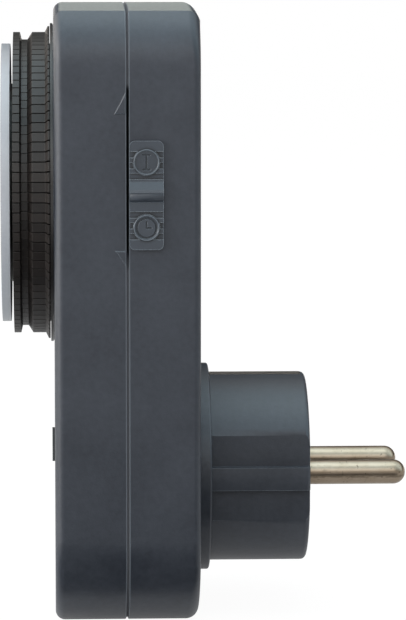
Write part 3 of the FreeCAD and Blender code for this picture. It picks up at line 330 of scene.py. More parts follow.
# %% Dark cards
CARD_LEVEL = FLOOR_LEVEL + 0.0003
card_paint, bench = new_material("card_paint")
black = bench.add("ShaderNodeBsdfDiffuse", None, {"Color": (0.01, 0.008, 0.006, 1)})
bench.end("ShaderNodeOutputMaterial", black)


def dark_card(name, left, right, near, far):
    """A card just above the floor, between two places along X and two along Y, in mm."""
    mesh = flat_sheet(name, left * MM, right * MM, near * MM, far * MM, CARD_LEVEL)
    mesh.materials.append(card_paint)
    card = show(name, mesh)
    card.visible_camera = False
    card.visible_diffuse = False
    card.visible_shadow = False


dark_card("pin_card", -2, 90, -200, -62)
dark_card("case_card", -90, -2, -180, -30)
print("two dark cards")

# %% [markdown]
# ## Finishes
# All of the timer is moulded plastic, stamped metal or turned metal. Each finish starts from one Principled
# shader whose steady values are set on its own sockets, and patterns are then wired to its colour, roughness
# and normal. The grain of each is as wide as on the real thing: a third of a millimetre on the spark-eroded
# case and half of that on small parts, longer streaks along a drawn pin, fine parallel lines on rolled strip.

# %% One finish, ready for its patterns
def finish(name, metal=0.0, coat=0.0, specular=0.5):
    """A new material: its bench and a function that wires patterns to the shader and ends the tree."""
    material, bench = new_material(name)

    def end(colour, roughness, height, depth, normal=None):
        """Ends the tree with a colour, a roughness and a relief of some depth in metres on a normal."""
        values = {"Base Color": colour, "Metallic": metal, "Roughness": roughness}
        values["Specular IOR Level"] = specular
        if coat:
            values["Coat Weight"] = coat
            values["Coat Roughness"] = 0.25
        bump = {"Height": height, "Strength": 1.0, "Distance": depth}
        if normal is not None:
            bump["Normal"] = normal
        values["Normal"] = bench.add("ShaderNodeBump", None, bump)
        shader = bench.add("ShaderNodeBsdfPrincipled", None, values)
        bench.end("ShaderNodeOutputMaterial", shader)
        return material

    return bench, end


# %% Moulded plastics
def rounded_edges(bench, radius, low, high):
    """A normal that rounds sharp edges, and a mask that is 1 where it turns away from the true normal."""
    soft = bench.add("ShaderNodeBevel", {"samples": 4}, {"Radius": radius})
    true = bench.add("ShaderNodeNewGeometry", out=1)
    same = bench.add("ShaderNodeVectorMath", {"operation": "DOT_PRODUCT"}, {0: soft, 1: true}, out=1)
    return soft, bench.between(1 - same, low, high)


# Between these two heights the painted sheen of the top sets in.
TOP_SHEEN_BEGINS = 0.0905
TOP_SHEEN_IS_FULL = 0.0912


def painted_top_sheen(bench, place, colour):
    """A pale painted sheen on the flat top alone, in place of its bright reflection: high up, and where the
    surface looks straight up.
    """
    height = bench.part(place, 2)
    up = bench.part(bench.add("ShaderNodeNewGeometry", out=1), 2)
    grains = bench.noise(place, 0.0006, 3, 0.7)
    top_face_share = bench.between(height, TOP_SHEEN_BEGINS, TOP_SHEEN_IS_FULL) * bench.between(up, 0.88, 0.97)
    sheen_share = bench.between(grains, 0.30, 0.62) * 0.2 + 0.5
    # Painted highlight: a pale grey on the top stands in for its bright reflection.
    return bench.blend(top_face_share * sheen_share, colour, linear(192, 194, 189))


# The pale tone of sharp edges: partly wear, partly a painted highlight.
WEAR_AND_HIGHLIGHT_TONE = linear(150, 162, 172)
# Between these heights the groove is painted dark as shadow.
GROOVE_SHADOW_FROM = (0.042, 0.046)
GROOVE_SHADOW_UNTIL = (0.0765, 0.0775)


def moulded(
    name, dark, light, rough, depth, grain=0.00016, coat=0.0, edges=0.0, crevice_shade=0.0, seam=None, shots=None,
    top_sheen=False,
):
    """Moulded plastic: cloudy tone between two colours, a spark-eroded grain, and a few fine pale rubs.

    edges is how strongly sharp edges show the edge tone, partly wear and partly a painted highlight, and
    crevice_shade how strongly narrow places are darkened with painted shade. seam is the place along X of the
    groove between the halves: painted pale as light in it, painted dark as shadow beside the slide switch,
    and with painted highlights on its shoulders. Behind shots, a place along X, the moulding has the dark
    colours of a second shot. top_sheen lays a painted sheen on the top in place of its reflection. A mesh may
    carry the
    attribute mark: 1 for painted shade in a sunk line, -1 for a painted highlight on a
    raised one."""
    bench, end = finish(name, coat=coat)
    place = bench.place()
    along = bench.part(place, 0)
    clouds = bench.noise(place, 0.011, 3, 0.6)
    fine = bench.noise(place, grain, 2, 0.7)
    speck = bench.noise(place, grain * 3.1, 2, 0.6)
    rub = bench.noise(bench.stretched(place, 1, 1, 7), 0.0013, 4, 0.62)
    rubs_and_highlight = bench.between(rub, 0.70, 0.82)
    tone = bench.between(clouds * 0.6 + speck * 0.4, 0.34, 0.66)
    colour = bench.blend(tone, dark, light)
    pale = tuple(min(1.0, 1.5 * c + 0.01) for c in light[:3]) + (1.0,)
    colour = bench.blend(rubs_and_highlight * 0.22, colour, pale)
    if shots is not None:
        second = bench.blend(tone, linear(30, 29, 29), linear(40, 38, 38))
        colour = bench.blend(bench.between(along, shots - 0.00002, shots + 0.00002), colour, second)
    # Painted highlight on the top, in place of its reflection.
    if top_sheen:
        colour = painted_top_sheen(bench, place, colour)
    # Painted shade: narrow places are darkened where the sky can't reach them.
    if crevice_shade:
        open_sky = bench.add("ShaderNodeAmbientOcclusion", {"samples": 8}, {"Distance": 0.0007}, out=1)
        colour = bench.blend(bench.between(1 - open_sky, 0.03, 0.35) * crevice_shade, colour, linear(16, 18, 22))
    if edges:
        # Sharp edges turn pale: partly wear, partly a painted highlight.
        edge = rounded_edges(bench, 0.00016, 0.01, 0.18)[1]
        colour = bench.blend(edge * edges, colour, WEAR_AND_HIGHLIGHT_TONE)
        # Painted shade in sunk lines and a painted highlight on raised ones, as the mesh gives them.
        mark = bench.add("ShaderNodeAttribute", {"attribute_name": "mark"}, out=2)
        colour = bench.blend(bench.between(mark, 0, 1) * 0.8, colour, linear(24, 26, 32))
        colour = bench.blend(bench.between(0 - mark, 0, 1) * 0.6, colour, WEAR_AND_HIGHLIGHT_TONE)
    if seam is not None:
        # The groove: painted light in it, painted shadow beside the slide switch, and painted highlights on
        # its shoulders.
        away = bench.sum("ABSOLUTE", along - seam)
        height = bench.part(place, 2)
        groove_shadow = bench.between(height, *GROOVE_SHADOW_FROM) * (1 - bench.between(height, *GROOVE_SHADOW_UNTIL))
        painted_groove_colour = bench.blend(groove_shadow, linear(104, 106, 112), linear(4, 5, 7))
        shoulder = bench.between(away, 0.00027, 0.00031) * (1 - bench.between(away, 0.00037, 0.00048))
        colour = bench.blend(shoulder * 0.6, colour, linear(104, 112, 120))
        colour = bench.blend(1 - bench.between(away, 0.00020, 0.00029), colour, painted_groove_colour)
    roughness = rough - 0.05 + clouds * 0.10 + (fine - 0.5) * 0.08 - rubs_and_highlight * 0.06
    return end(colour, roughness, fine * 0.7 + speck * 0.5, depth)


# %% One plastic for each kind of part
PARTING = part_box("front_shell")[1].x
DISC_THICKNESS = 0.0017
SECOND_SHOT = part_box("dial_carrier")[0].x + DISC_THICKNESS + 0.00005
case_plastic = moulded(
    "case_plastic", linear(41, 46, 55), linear(54, 59, 68), 0.44, 0.00003, grain=0.00036, edges=0.7,
    seam=PARTING, top_sheen=True,
)
slider_plastic = moulded(
    "slider_plastic", linear(56, 62, 71), linear(62, 69, 78), 0.38, 0.00001, edges=1.0, crevice_shade=0.8
)
socket_plastic = moulded("socket_plastic", linear(34, 35, 38), linear(42, 43, 46), 0.4, 0.00001)
inner_plastic = moulded("inner_plastic", linear(88, 88, 90), linear(98, 98, 99), 0.42, 0.000006)
cap_plastic = moulded("cap_plastic", linear(176, 179, 187), linear(186, 189, 196), 0.34, 0.000006)
dial_plastic = moulded(
    "dial_plastic", linear(176, 181, 188), linear(186, 190, 196), 0.36, 0.000006, shots=SECOND_SHOT
)
gear_plastic = moulded("gear_plastic", linear(225, 222, 210), linear(236, 233, 222), 0.38, 0.000004, coat=0.1)
phenolic = moulded("phenolic", linear(66, 50, 38), linear(88, 68, 50), 0.5, 0.000008, grain=0.0003)
print("plastics", [m.name for m in bpy.data.materials if "plastic" in m.name])

# %% [markdown]
# The 96 tappets come from one mould after another and rub on each other, so their black isn't even: each is a
# little lighter or darker than the next, their edges are grey from handling, and pale streaks run over them.
# The tone of one tappet is drawn from the angle round the dial's axis, cut into 96 equal steps, so that it
# goes with the tappet when the dial turns.

# %% Tappet plastic
DIAL_HEIGHT = 0.0568
QUARTERS = 96


def tappet_finish():
    """Black plastic whose tone steps from one tappet to the next, with rubbed edges and a trace of dust."""
    bench, end = finish("tappet_plastic", specular=0.38)
    place = bench.place()
    angle = bench.sum("ARCTAN2", bench.part(place, 1), bench.part(place, 2) - DIAL_HEIGHT)
    step = bench.sum("FLOOR", angle * (QUARTERS / (2 * math.pi)))
    draw = bench.add("ShaderNodeTexWhiteNoise", {"noise_dimensions": "1D"}, {"W": step + 0.5})
    clouds = bench.noise(place, 0.002, 3, 0.6)
    fine = bench.noise(place, 0.00012, 2, 0.7)
    streaks = bench.noise(bench.stretched(place, 1, 6, 6), 0.0008, 3, 0.6)
    round_normal, edge = rounded_edges(bench, 0.00012, 0.02, 0.22)
    tone = bench.between(draw * 0.55 + clouds * 0.45, 0.12, 0.88)
    colour = bench.blend(tone, linear(20, 16, 15), linear(35, 30, 28))
    colour = bench.blend(edge * 0.25, colour, linear(110, 106, 100))
    colour = bench.blend(bench.between(streaks, 0.62, 0.8) * 0.2, colour, linear(92, 88, 82))
    roughness = 0.40 + clouds * 0.12 + (fine - 0.5) * 0.08
    return end(colour, roughness, fine * 0.5 + streaks * 0.4, 0.000012, round_normal)


tappet_plastic = tappet_finish()
print("one tone for each of", QUARTERS, "tappets")

# %% [markdown]
# The pins are solid brass with a satin nickel plate, warm in tone, with fine marks drawn along them, small
# dull spots, and a broken dark line along them that is a painted reflection. Strip parts are rolled, so their
# lines run one way. The screws and the motor's can are zinc plated, pale and cloudy.

# %% Drawn and rolled metals
ALONG_X = (1, 14, 14)
ALONG_Y = (14, 1, 14)
ALONG_Z = (14, 14, 1)


def metal_finish(name, dark, light, rough=0.3, along=ALONG_Y, dark_reflection_height=None):
    """Metal with lines drawn out along one direction, cloudy tarnish between two colours and dull spots.

    dark_reflection_height is a height at which a dark, broken line is painted along the metal as a
    reflection."""
    bench, end = finish(name, metal=1.0)
    place = bench.place()
    lines = bench.noise(bench.stretched(place, *along), 0.00176, 3, 0.65)
    clouds = bench.noise(place, 0.004, 4, 0.62)
    small = bench.noise(place, 0.0009, 3, 0.6)
    dull = bench.between(small, 0.58, 0.74)
    tone = bench.between(clouds * 0.65 + lines * 0.35, 0.30, 0.68)
    colour = bench.blend(tone, dark, light)
    worn = tuple(c * 0.62 for c in dark[:3]) + (1.0,)
    colour = bench.blend(dull * 0.35, colour, worn)
    # A painted reflection: a dark, broken line along the metal at one height.
    if dark_reflection_height is not None:
        broken = bench.noise(bench.stretched(place, 1, 3, 3), 0.0016, 3, 0.7)
        away = bench.sum("ABSOLUTE", bench.part(place, 2) - dark_reflection_height + (broken - 0.5) * 0.0004)
        dark_reflection_line = (1 - bench.between(away, 0.00012, 0.00034)) * bench.between(broken, 0.34, 0.52)
        colour = bench.blend(dark_reflection_line * 0.45, colour, linear(48, 38, 26))
        flecks = bench.between(bench.noise(place, 0.0005, 2, 0.5), 0.66, 0.72)
        colour = bench.blend(flecks * 0.7, colour, linear(58, 48, 36))
    roughness = rough - 0.06 + clouds * 0.10 + lines * 0.06 + dull * 0.16
    return end(colour, roughness, lines * 0.6 + small * 0.3, 0.000004)


# The height of the dark line painted on the pins as a reflection.
DARK_REFLECTION_HEIGHT = -0.0006
pin_nickel = metal_finish(
    "pin_nickel", linear(129, 115, 98), linear(152, 139, 124), 0.28, ALONG_X, DARK_REFLECTION_HEIGHT
)
earth_metal = metal_finish("earth_metal", linear(74, 72, 70), linear(98, 95, 90), along=ALONG_Z)
steel = metal_finish("steel", linear(176, 178, 178), linear(204, 206, 206), 0.32)
motor_can = metal_finish("motor_can", linear(190, 192, 194), linear(214, 215, 216))
contact_brass = metal_finish("contact_brass", linear(196, 158, 86), linear(226, 190, 112), 0.28)
print("metals", [m.name for m in (pin_nickel, earth_metal, steel, motor_can, contact_brass)])

# %% [markdown]
# ## Dressing the construction solids
# Each solid gets the finish of what it is made of. The material slots that come with the frame are named
# after the kinds of material, so the solids are dressed by slot.

# %% Dress every solid
MADE = [case_plastic, socket_plastic, inner_plastic, dial_plastic, cap_plastic, tappet_plastic, gear_plastic]
MADE += [steel, motor_can, pin_nickel, earth_metal, contact_brass]
FINISHES = {made.name.split(".")[0]: made for made in MADE}
FINISHES["switch_plastic"] = phenolic
for name, solid in nodes.items():
    for slot in solid.material_slots:
        slot.material = FINISHES.get(slot.material.name.split(".")[0], case_plastic)
nodes["override_slider"].material_slots[0].material = slider_plastic
print("dressed", len(nodes), "solids from", len(FINISHES), "finishes")

# %% [markdown]
# ## A surface from a grid of points
# The new pieces are worked out as whole arrays. A rectangle of points, rows by columns, becomes a skin whose
# faces are the grid's squares. Its last column joins its first, and its last row can too. Points that fall
# together at a pole or a seam are then merged, and the faces are turned outwards.

# %% Grid to mesh
def skin(name, points, loop=False):
    """A mesh from rows by columns of points, closed round each row. loop joins the last row to the first."""
    rows, columns = points.shape[:2]
    order = np.arange(rows * columns).reshape(rows, columns)
    order = np.concatenate([order, order[:, :1]], axis=1)
    if loop:
        order = np.concatenate([order, order[:1]], axis=0)
    squares = np.stack([order[:-1, :-1], order[1:, :-1], order[1:, 1:], order[:-1, 1:]], axis=-1)
    mesh = bpy.data.meshes.new(name)
    mesh.from_pydata(points.reshape(-1, 3).tolist(), [], squares.reshape(-1, 4).tolist())
    return settle(mesh)


def settle(mesh):
    """Merges points that fall together and turns the faces outwards."""
    work = bmesh.new()
    work.from_mesh(mesh)
    bmesh.ops.remove_doubles(work, verts=work.verts, dist=1e-7)
    bmesh.ops.dissolve_degenerate(work, edges=work.edges, dist=1e-8)
    bmesh.ops.recalc_face_normals(work, faces=work.faces)
    work.to_mesh(mesh)
    work.free()
    return mesh


def read(mesh, what="co"):
    """The places of a mesh's points, or their normals, one to a row."""
    values = np.empty(len(mesh.vertices) * 3)
    mesh.vertices.foreach_get(what, values)
    return values.reshape(-1, 3)


def set_painted_shade_and_highlight(mesh, values):
    """Gives the mesh the attribute of painted shade and painted highlight for its finish."""
    mesh.attributes.new("mark", "FLOAT", "POINT").data.foreach_set("value", values.astype(np.float32))


def piece(mesh, body, material, smooth=False):
    """An object at the origin that shows the mesh, rides on a body and takes its finish from a slot."""
    if smooth:
        mesh.shade_smooth()
    mesh.materials.clear()
    mesh.materials.append(material)
    made = show(mesh.name, mesh)
    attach(made, body)
    print(mesh.name, len(mesh.polygons), "faces, rides on", body)
    return made


# %% [markdown]
# ## The case as it was moulded
# The construction model rounds the case's corners and edges evenly. The real mouldings are less even. Towards
# the top each side bends inwards and ends in a crisp edge, over which the top is a very flat dome. The front
# edge is rounder, the rear edge is rounder at the top and bottom than at the sides, and the groove is
# narrower. So each half is shown by a copy of its solid's mesh, whose points are moved by a rule, and the
# solid itself is hidden. The solids' long edges have few points, so lines are cut first where the new form
# needs them, and the flat faces are filled anew at the end.

# %% The solids' outline, in mm
# FRONT and REAR are the places of the flat faces, CORNER and EDGE the radii of the roundings, and GROOVE half
# the width of the groove. WALL is a little more than the thickness of the walls. The flange round the plug
# has its own face, radius and rounding.
case_low, case_high = (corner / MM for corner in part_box("front_shell"))
HALF_WIDTH = case_high.y
TOP = case_high.z
BOTTOM = case_low.z
FRONT = -49.75
REAR = -21.95
CORNER = 18.0
EDGE = 1.4
GROOVE = 0.5
WALL = 2.5
FLANGE_FACE = REAR + 2.65
FLANGE_RADIUS = 20.6
FLANGE_EDGE = 0.9
print("solids' outline", [round(size, 2) for size in (HALF_WIDTH, TOP, BOTTOM)])

# %% The real outline, in mm
# Above the old corner's foot each side stays straight for a stretch, then bends with the radius BEND up to
# the crisp edge. A place at CRISP_ANGLE round the old corner's centre moves there. DOME is the top's radius.
BEND = 13.0
BEND_ANGLE = math.radians(51)
STRAIGHT = 6.7
CRISP_ANGLE = math.radians(60)
BEND_LENGTH = STRAIGHT + BEND * BEND_ANGLE
CRISP_SIDE = HALF_WIDTH - BEND * (1 - math.cos(BEND_ANGLE))
CRISP_HEIGHT = TOP - CORNER + STRAIGHT + BEND * math.sin(BEND_ANGLE)
DOME = (CRISP_SIDE ** 2) / (2 * (TOP - CRISP_HEIGHT))
print("crisp edge at", round(CRISP_SIDE, 2), round(CRISP_HEIGHT, 2), "under a dome of radius", round(DOME))


# %% How deep a place lies inside the old outline
def outline_depth(across, up):
    """The depth under a rounded rectangle, and the direction straight out of it, for each place.

    With q the place measured from the corner's centre, the depth in a corner is the radius less |q|, and
    beside a straight stretch it is the distance to that stretch."""
    side = np.abs(across) - (HALF_WIDTH - CORNER)
    rise = np.abs(up - (TOP + BOTTOM) / 2) - ((TOP - BOTTOM) / 2 - CORNER)
    in_corner = (side > 0) & (rise > 0)
    reach = np.hypot(side, rise)
    depth = np.where(in_corner, CORNER - reach, CORNER - np.maximum(side, rise))
    share = np.where(in_corner, side / reach, (side >= rise).astype(float))
    lift = np.where(in_corner, rise / reach, (side < rise).astype(float))
    return depth, share * np.sign(across), lift * np.sign(up - (TOP + BOTTOM) / 2)


def smooth_step(value, low, high):
    """0 below low, 1 above high, and a rise with level ends between."""
    share = np.clip((value - low) / (high - low), 0, 1)
    return share * share * (3 - 2 * share)


# %% Rounder edges
ON_THE_LINE = 0.03
PAST_THE_END = 0.01


def on_rounding(depth, along, radius):
    """Which places lie on the rounding between two faces: one radius from its middle line, and between its
    two ends. depth and along are the distances from the two faces."""
    off = np.abs(np.hypot(depth - radius, along - radius) - radius)
    furthest = np.maximum(depth, along)
    nearest = np.minimum(depth, along)
    return (off < ON_THE_LINE) & (furthest < radius + PAST_THE_END) & (nearest > -PAST_THE_END)


def rounder(places, face, inward, grow):
    """Enlarges the rounding where the sides meet a flat face at X = face. A place on it moves straight away
    from the sharp edge that would be there without a rounding, grow times as far as it was."""
    depth, side, lift = outline_depth(places[:, 1], places[:, 2])
    along = (places[:, 0] - face) * inward
    more = np.where(on_rounding(depth, along, EDGE), grow(lift) - 1, 0)
    moved = places.copy()
    moved[:, 0] += more * along * inward
    moved[:, 1] -= more * depth * side
    moved[:, 2] -= more * depth * lift
    return moved


def crisper_flange(places):
    """Shrinks the rounding at the rim of the flange to a share of itself, towards the sharp edge."""
    reach = np.hypot(places[:, 1], places[:, 2])
    depth = FLANGE_RADIUS - reach
    along = FLANGE_FACE - places[:, 0]
    grow = np.where(on_rounding(depth, along, FLANGE_EDGE), FLANGE_SHARE - 1, 0)
    moved = places.copy()
    moved[:, 0] -= grow * along
    moved[:, 1:] *= (1 - grow * depth / np.maximum(reach, 1))[:, None]
    return moved


def narrower_groove(places):
    """Brings the two shoulders of the groove at the parting line closer to it, on either side."""
    depth, _, _ = outline_depth(places[:, 1], places[:, 2])
    away = places[:, 0] - PARTING / MM
    shoulder = (np.abs(np.abs(away) - GROOVE) < 0.02) & (np.abs(depth) < 0.02)
    moved = places.copy()
    moved[:, 0] = np.where(shoulder, PARTING / MM + np.sign(away) * REAL_GROOVE, moved[:, 0])
    return moved


# %% The bend, the crisp edge and the dome
EVEN_OUT = 3


def bent_top(places):
    """Moves the top corners and the top to the real outline.

    A place in a corner has an angle round the corner's centre and a depth under the old outline. The angle
    gives its place on the new outline: up to the crisp edge a straight stretch and a bend, both measured
    along their length, and beyond it the dome z = top - y * y / (2 * radius). The depth stays the same,
    measured square to the new outline, and at the crisp edge half-way between the two sides. Over a few
    millimetres, EVEN_OUT, one direction passes into the other."""
    side = np.abs(places[:, 1]) - (HALF_WIDTH - CORNER)
    rise = places[:, 2] - (TOP - CORNER)
    angle = np.arctan2(rise, side)
    depth = CORNER - np.hypot(side, rise)
    corner = (side > 0) & (rise > 0) & (depth < WALL)
    run = angle / CRISP_ANGLE * BEND_LENGTH
    turn = np.clip((run - STRAIGHT) / BEND, 0, BEND_ANGLE)
    from_centre = (CRISP_SIDE - HALF_WIDTH + CORNER) * np.cos(angle) / math.cos(CRISP_ANGLE)
    dome_side = HALF_WIDTH - CORNER + from_centre
    on_dome = angle > CRISP_ANGLE
    new_side = np.where(on_dome, dome_side, HALF_WIDTH - BEND + BEND * np.cos(turn))
    bend_rise = TOP - CORNER + np.minimum(run, STRAIGHT) + BEND * np.sin(turn)
    new_rise = np.where(on_dome, TOP - dome_side ** 2 / (2 * DOME), bend_rise)
    lean = np.where(on_dome, math.pi / 2 - dome_side / DOME, turn)
    from_edge = np.where(on_dome, CRISP_SIDE - dome_side, BEND_LENGTH - run)
    halfway = (BEND_ANGLE + math.pi / 2 - CRISP_SIDE / DOME) / 2
    lean = lean + (halfway - lean) * np.clip(1 - from_edge / EVEN_OUT, 0, 1)
    moved = places.copy()
    moved[:, 1] = np.where(corner, np.sign(places[:, 1]) * (new_side - depth * np.cos(lean)), moved[:, 1])
    moved[:, 2] = np.where(corner, new_rise - depth * np.sin(lean), moved[:, 2])
    on_top = (side <= 0) & (places[:, 2] > TOP - WALL)
    moved[:, 2] = np.where(on_top, places[:, 2] - places[:, 1] ** 2 / (2 * DOME), moved[:, 2])
    return moved


# %% Cut lines and flat faces
DOME_CUTS = range(-12, 13, 3)


def cut_lines(work):
    """Cuts the copy by planes: upright ones across the top, and one through each corner's centre at its crisp
    edge. Only faces that lie wholly in the top or the corner are cut."""
    cuts = [(Vector((0, y * MM, 0)), Vector((0, 1, 0)), TOP - WALL - 0.1) for y in DOME_CUTS]
    for side in (-1, 1):
        centre = Vector((0, side * (HALF_WIDTH - CORNER) * MM, (TOP - CORNER) * MM))
        out = Vector((0, -math.sin(CRISP_ANGLE) * side, math.cos(CRISP_ANGLE)))
        cuts.append((centre, out, TOP - CORNER - 1))
    for place, out, lowest in cuts:
        faces = [
            face for face in work.faces
            if all(p.co.z > lowest * MM and (out.z == 0 or p.co.y * place.y > 0) for p in face.verts)
        ]
        chosen = set(faces)
        edges = [edge for edge in work.edges if not chosen.isdisjoint(edge.link_faces)]
        points = [point for point in work.verts if not chosen.isdisjoint(point.link_faces)]
        bmesh.ops.bisect_plane(work, geom=points + edges + faces, dist=1e-8, plane_co=place, plane_no=out)
    bmesh.ops.triangulate(work, faces=[face for face in work.faces if len(face.verts) > 3])


def fill_again(mesh, level):
    """Fills the flat face at X = level anew between its moved outline and its openings."""
    work = bmesh.new()
    work.from_mesh(mesh)
    flat = [face for face in work.faces if all(abs(point.co.x - level) < 1e-7 for point in face.verts)]
    outward = math.copysign(1, sum(face.normal.x * face.calc_area() for face in flat))
    chosen = set(flat)
    lines = [edge for edge in work.edges if not chosen.isdisjoint(edge.link_faces)]
    rim = [edge for edge in lines if sum(face in chosen for face in edge.link_faces) == 1]
    inner = [edge for edge in lines if sum(face in chosen for face in edge.link_faces) > 1]
    bmesh.ops.delete(work, geom=flat, context="FACES_ONLY")
    bmesh.ops.delete(work, geom=inner, context="EDGES")
    filled = bmesh.ops.triangle_fill(work, use_beauty=True, edges=rim, normal=(outward, 0, 0))["geom"]
    faces = [item for item in filled if isinstance(item, bmesh.types.BMFace)]
    for face in faces:
        face.normal_update()
    bmesh.ops.reverse_faces(work, faces=[face for face in faces if face.normal.x * outward < 0])
    work.to_mesh(mesh)
    work.free()
    print("flat face at", round(level / MM, 2), "filled with", len(faces), "triangles")


# %% Both halves
def moulding(name, rule, flat):
    """A copy of a solid's mesh: welded, cut, its points moved by the rule, its flat face filled again."""
    work = bmesh.new()
    work.from_mesh(nodes[name].data)
    bmesh.ops.remove_doubles(work, verts=work.verts, dist=1e-6)
    cut_lines(work)
    mesh = bpy.data.meshes.new(name.replace("shell", "moulding"))
    work.to_mesh(mesh)
    work.free()
    mesh.vertices.foreach_set("co", (rule(read(mesh) / MM) * MM).ravel())
    mesh.update()
    fill_again(mesh, flat * MM)
    if "custom_normal" in mesh.attributes:
        mesh.attributes.remove(mesh.attributes["custom_normal"])
    mesh.shade_smooth()
    mesh.set_sharp_from_angle(angle=math.radians(SHARP_FROM))
    return mesh


# %% The rule for each half
SHARP_FROM = 28
FRONT_GROWTH = 0.3
REAR_GROWTH = 0.75
FLANGE_SHARE = 0.5
REAL_GROOVE = 0.3


def front_rule(places):
    """The front half: its front edge is rounder all round by the same share."""
    places = rounder(places, FRONT, 1, lambda lift: 1 + FRONT_GROWTH + 0 * lift)
    return bent_top(narrower_groove(places))


def rear_rule(places):
    """The rear half: its rear edge is rounder at the top and bottom only, and the flange's rim is crisper."""
    places = rounder(places, REAR, -1, lambda lift: 1 + REAR_GROWTH * smooth_step(np.abs(lift), 0.3, 0.9))
    return bent_top(narrower_groove(crisper_flange(places)))


for name, rule, flat in (("front_shell", front_rule, FRONT), ("rear_shell", rear_rule, REAR)):
    half = piece(moulding(name, rule, flat), "case", case_plastic)
    shading = half.modifiers.new("even_faces", "WEIGHTED_NORMAL")
    shading.keep_sharp = True
    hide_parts(name)

# %% [markdown]
# ## Two half triangles beside the slide switch
# Two small marks stand proud of the case's side, beside the slide switch. Each is half a triangle that leans
# on the parting line: the light from above catches the upper edge and leaves the lower one dark. Each is a
# flat plate with its edges sloped, made from its outline and the same outline drawn in.

# %% Half triangles
SIDE = case_low.y
UPPER_MARK = [(-36.16, 71.75), (-36.16, 76.0), (-38.42, 71.75)]
LOWER_MARK = [(-36.16, 42.88), (-36.16, 45.95), (-38.28, 45.95)]
MARK_HEIGHT = 0.24
MARK_SLOPE = 0.17


def sloped_plate(name, corners):
    """A plate on the case's side: its foot is the outline, and its top is drawn in from it by the slope.

    A corner moves in along the sum of its two sides' inward normals, divided by 1 plus their dot product.
    The foot begins a little inside the wall and stays upright for a third of the height."""
    foot = np.array(corners)
    sides = np.roll(foot, -1, axis=0) - foot
    sides /= np.linalg.norm(sides, axis=1, keepdims=True)
    inward = np.stack([-sides[:, 1], sides[:, 0]], axis=1)
    before = np.roll(inward, 1, axis=0)
    share = 1 + (inward * before).sum(axis=1, keepdims=True)
    top = foot + MARK_SLOPE * (inward + before) / share
    rings = [(foot.mean(axis=0) + 0 * foot, 0.05), (foot, 0.05), (foot, -MARK_HEIGHT * 0.35)]
    rings += [(top, -MARK_HEIGHT), (top.mean(axis=0) + 0 * top, -MARK_HEIGHT)]
    layers = [np.column_stack([at[:, 0], np.full(len(at), SIDE + out), at[:, 1]]) for at, out in rings]
    return skin(name, np.array(layers) * MM)


for name, corners in (("upper_mark", UPPER_MARK), ("lower_mark", LOWER_MARK)):
    piece(sloped_plate(name, corners), "case", case_plastic)

# %% [markdown]
# ## The signs on the slide switch
# Two round islands stand among the ribs of the slide switch. The upper one carries a stroke with two feet,
# for always on, and the lower one a clock face, for following the dial. Both are sunk into the island, and a
# thin raised ring runs round its edge. Each is one disc of rings of points from the middle outwards, and each
# point is lowered where it lies close to a line of the sign. The sunk lines are painted dark as shade, and
# the raised ring is painted light as a highlight.

# %% Distance to the lines of a sign
def near_line(across, up, start, stop):
    """How far each point is from a straight line between two points, in the same units."""
    start, run = np.array(start), np.subtract(stop, start)
    along = ((across - start[0]) * run[0] + (up - start[1]) * run[1]) / (run @ run)
    along = np.clip(along, 0, 1)
    return np.hypot(across - start[0] - along * run[0], up - start[1] - along * run[1])


def always_on(across, up):
    """Distance to an upright stroke with two feet."""
    lines = [((0, -1.4), (0, 1.4)), ((-0.62, -1.4), (0.62, -1.4)), ((-0.62, 1.4), (0.62, 1.4))]
    return np.min([near_line(across, up, *line) for line in lines], axis=0)


def by_the_clock(across, up):
    """Distance to a ring and to two hands, at twelve and at three."""
    hands = [((0, 0), (0, 1.15)), ((0, 0), (0.85, 0))]
    ring = np.abs(np.hypot(across, up) - 1.85)
    return np.minimum(ring, np.min([near_line(across, up, *hand) for hand in hands], axis=0))


# %% Signs
RINGS = 74
SPOKES = 220
ISLAND_RADIUS = 2.5
ISLAND_HEIGHT = 0.16
RIM_HEIGHT = 0.18
RIM_HALF = 0.17
SUNK = 0.17
LINE_WIDTH = 0.15


def sign_disc(name, middle, sign, ground):
    """A disc in the wall's plane: its height falls by SUNK near the lines of the sign and rises at its rim.

    The rim is a ring with a round section. The attribute mark is 1 in the sign's lines,
    painted shade, below 0 on the rim, a painted highlight, and ground(distance) elsewhere."""
    out = np.linspace(0, ISLAND_RADIUS - 0.02, RINGS)
    turn = np.linspace(0, 2 * np.pi, SPOKES, endpoint=False)
    distance, angle = np.meshgrid(out, turn, indexing="ij")
    across, up = distance * np.cos(angle), distance * np.sin(angle)
    dip = 1 - smooth_step(sign(across, up), LINE_WIDTH * 0.6, LINE_WIDTH * 1.4)
    rim = np.clip(1 - np.abs(distance - (ISLAND_RADIUS - RIM_HALF)) / RIM_HALF, 0, 1)
    rise = ISLAND_HEIGHT - SUNK * dip + RIM_HEIGHT * np.sqrt(1 - (1 - rim) ** 2)
    face = np.stack([middle[0] + across, middle[1] - rise, middle[2] + up], axis=-1)
    circle = ISLAND_RADIUS * np.column_stack([np.cos(turn), 0 * turn, np.sin(turn)])
    skirt = np.array([circle + (0, -0.08, 0), circle + (0, 0.05, 0), 0 * circle + (0, 0.05, 0)]) + middle
    mesh = skin(name, np.concatenate([face, skirt]) * MM)
    places = read(mesh) / MM - middle
    reach = np.hypot(places[:, 0], places[:, 2])
    # Painted shade in the sunk lines, and a painted highlight on the rim.
    line = 1 - np.clip((sign(places[:, 0], places[:, 2]) - LINE_WIDTH * 0.5) / (LINE_WIDTH * 0.7), 0, 1)
    rubs_and_highlight = 0.5 * np.clip(1.3 - np.abs(reach - ISLAND_RADIUS + RIM_HALF) / 0.08, 0, 1)
    shade = np.where(reach < ISLAND_RADIUS - 0.35, ground(reach) + (1 - ground(reach)) * line, -rubs_and_highlight)
    set_painted_shade_and_highlight(mesh, shade)
    return mesh


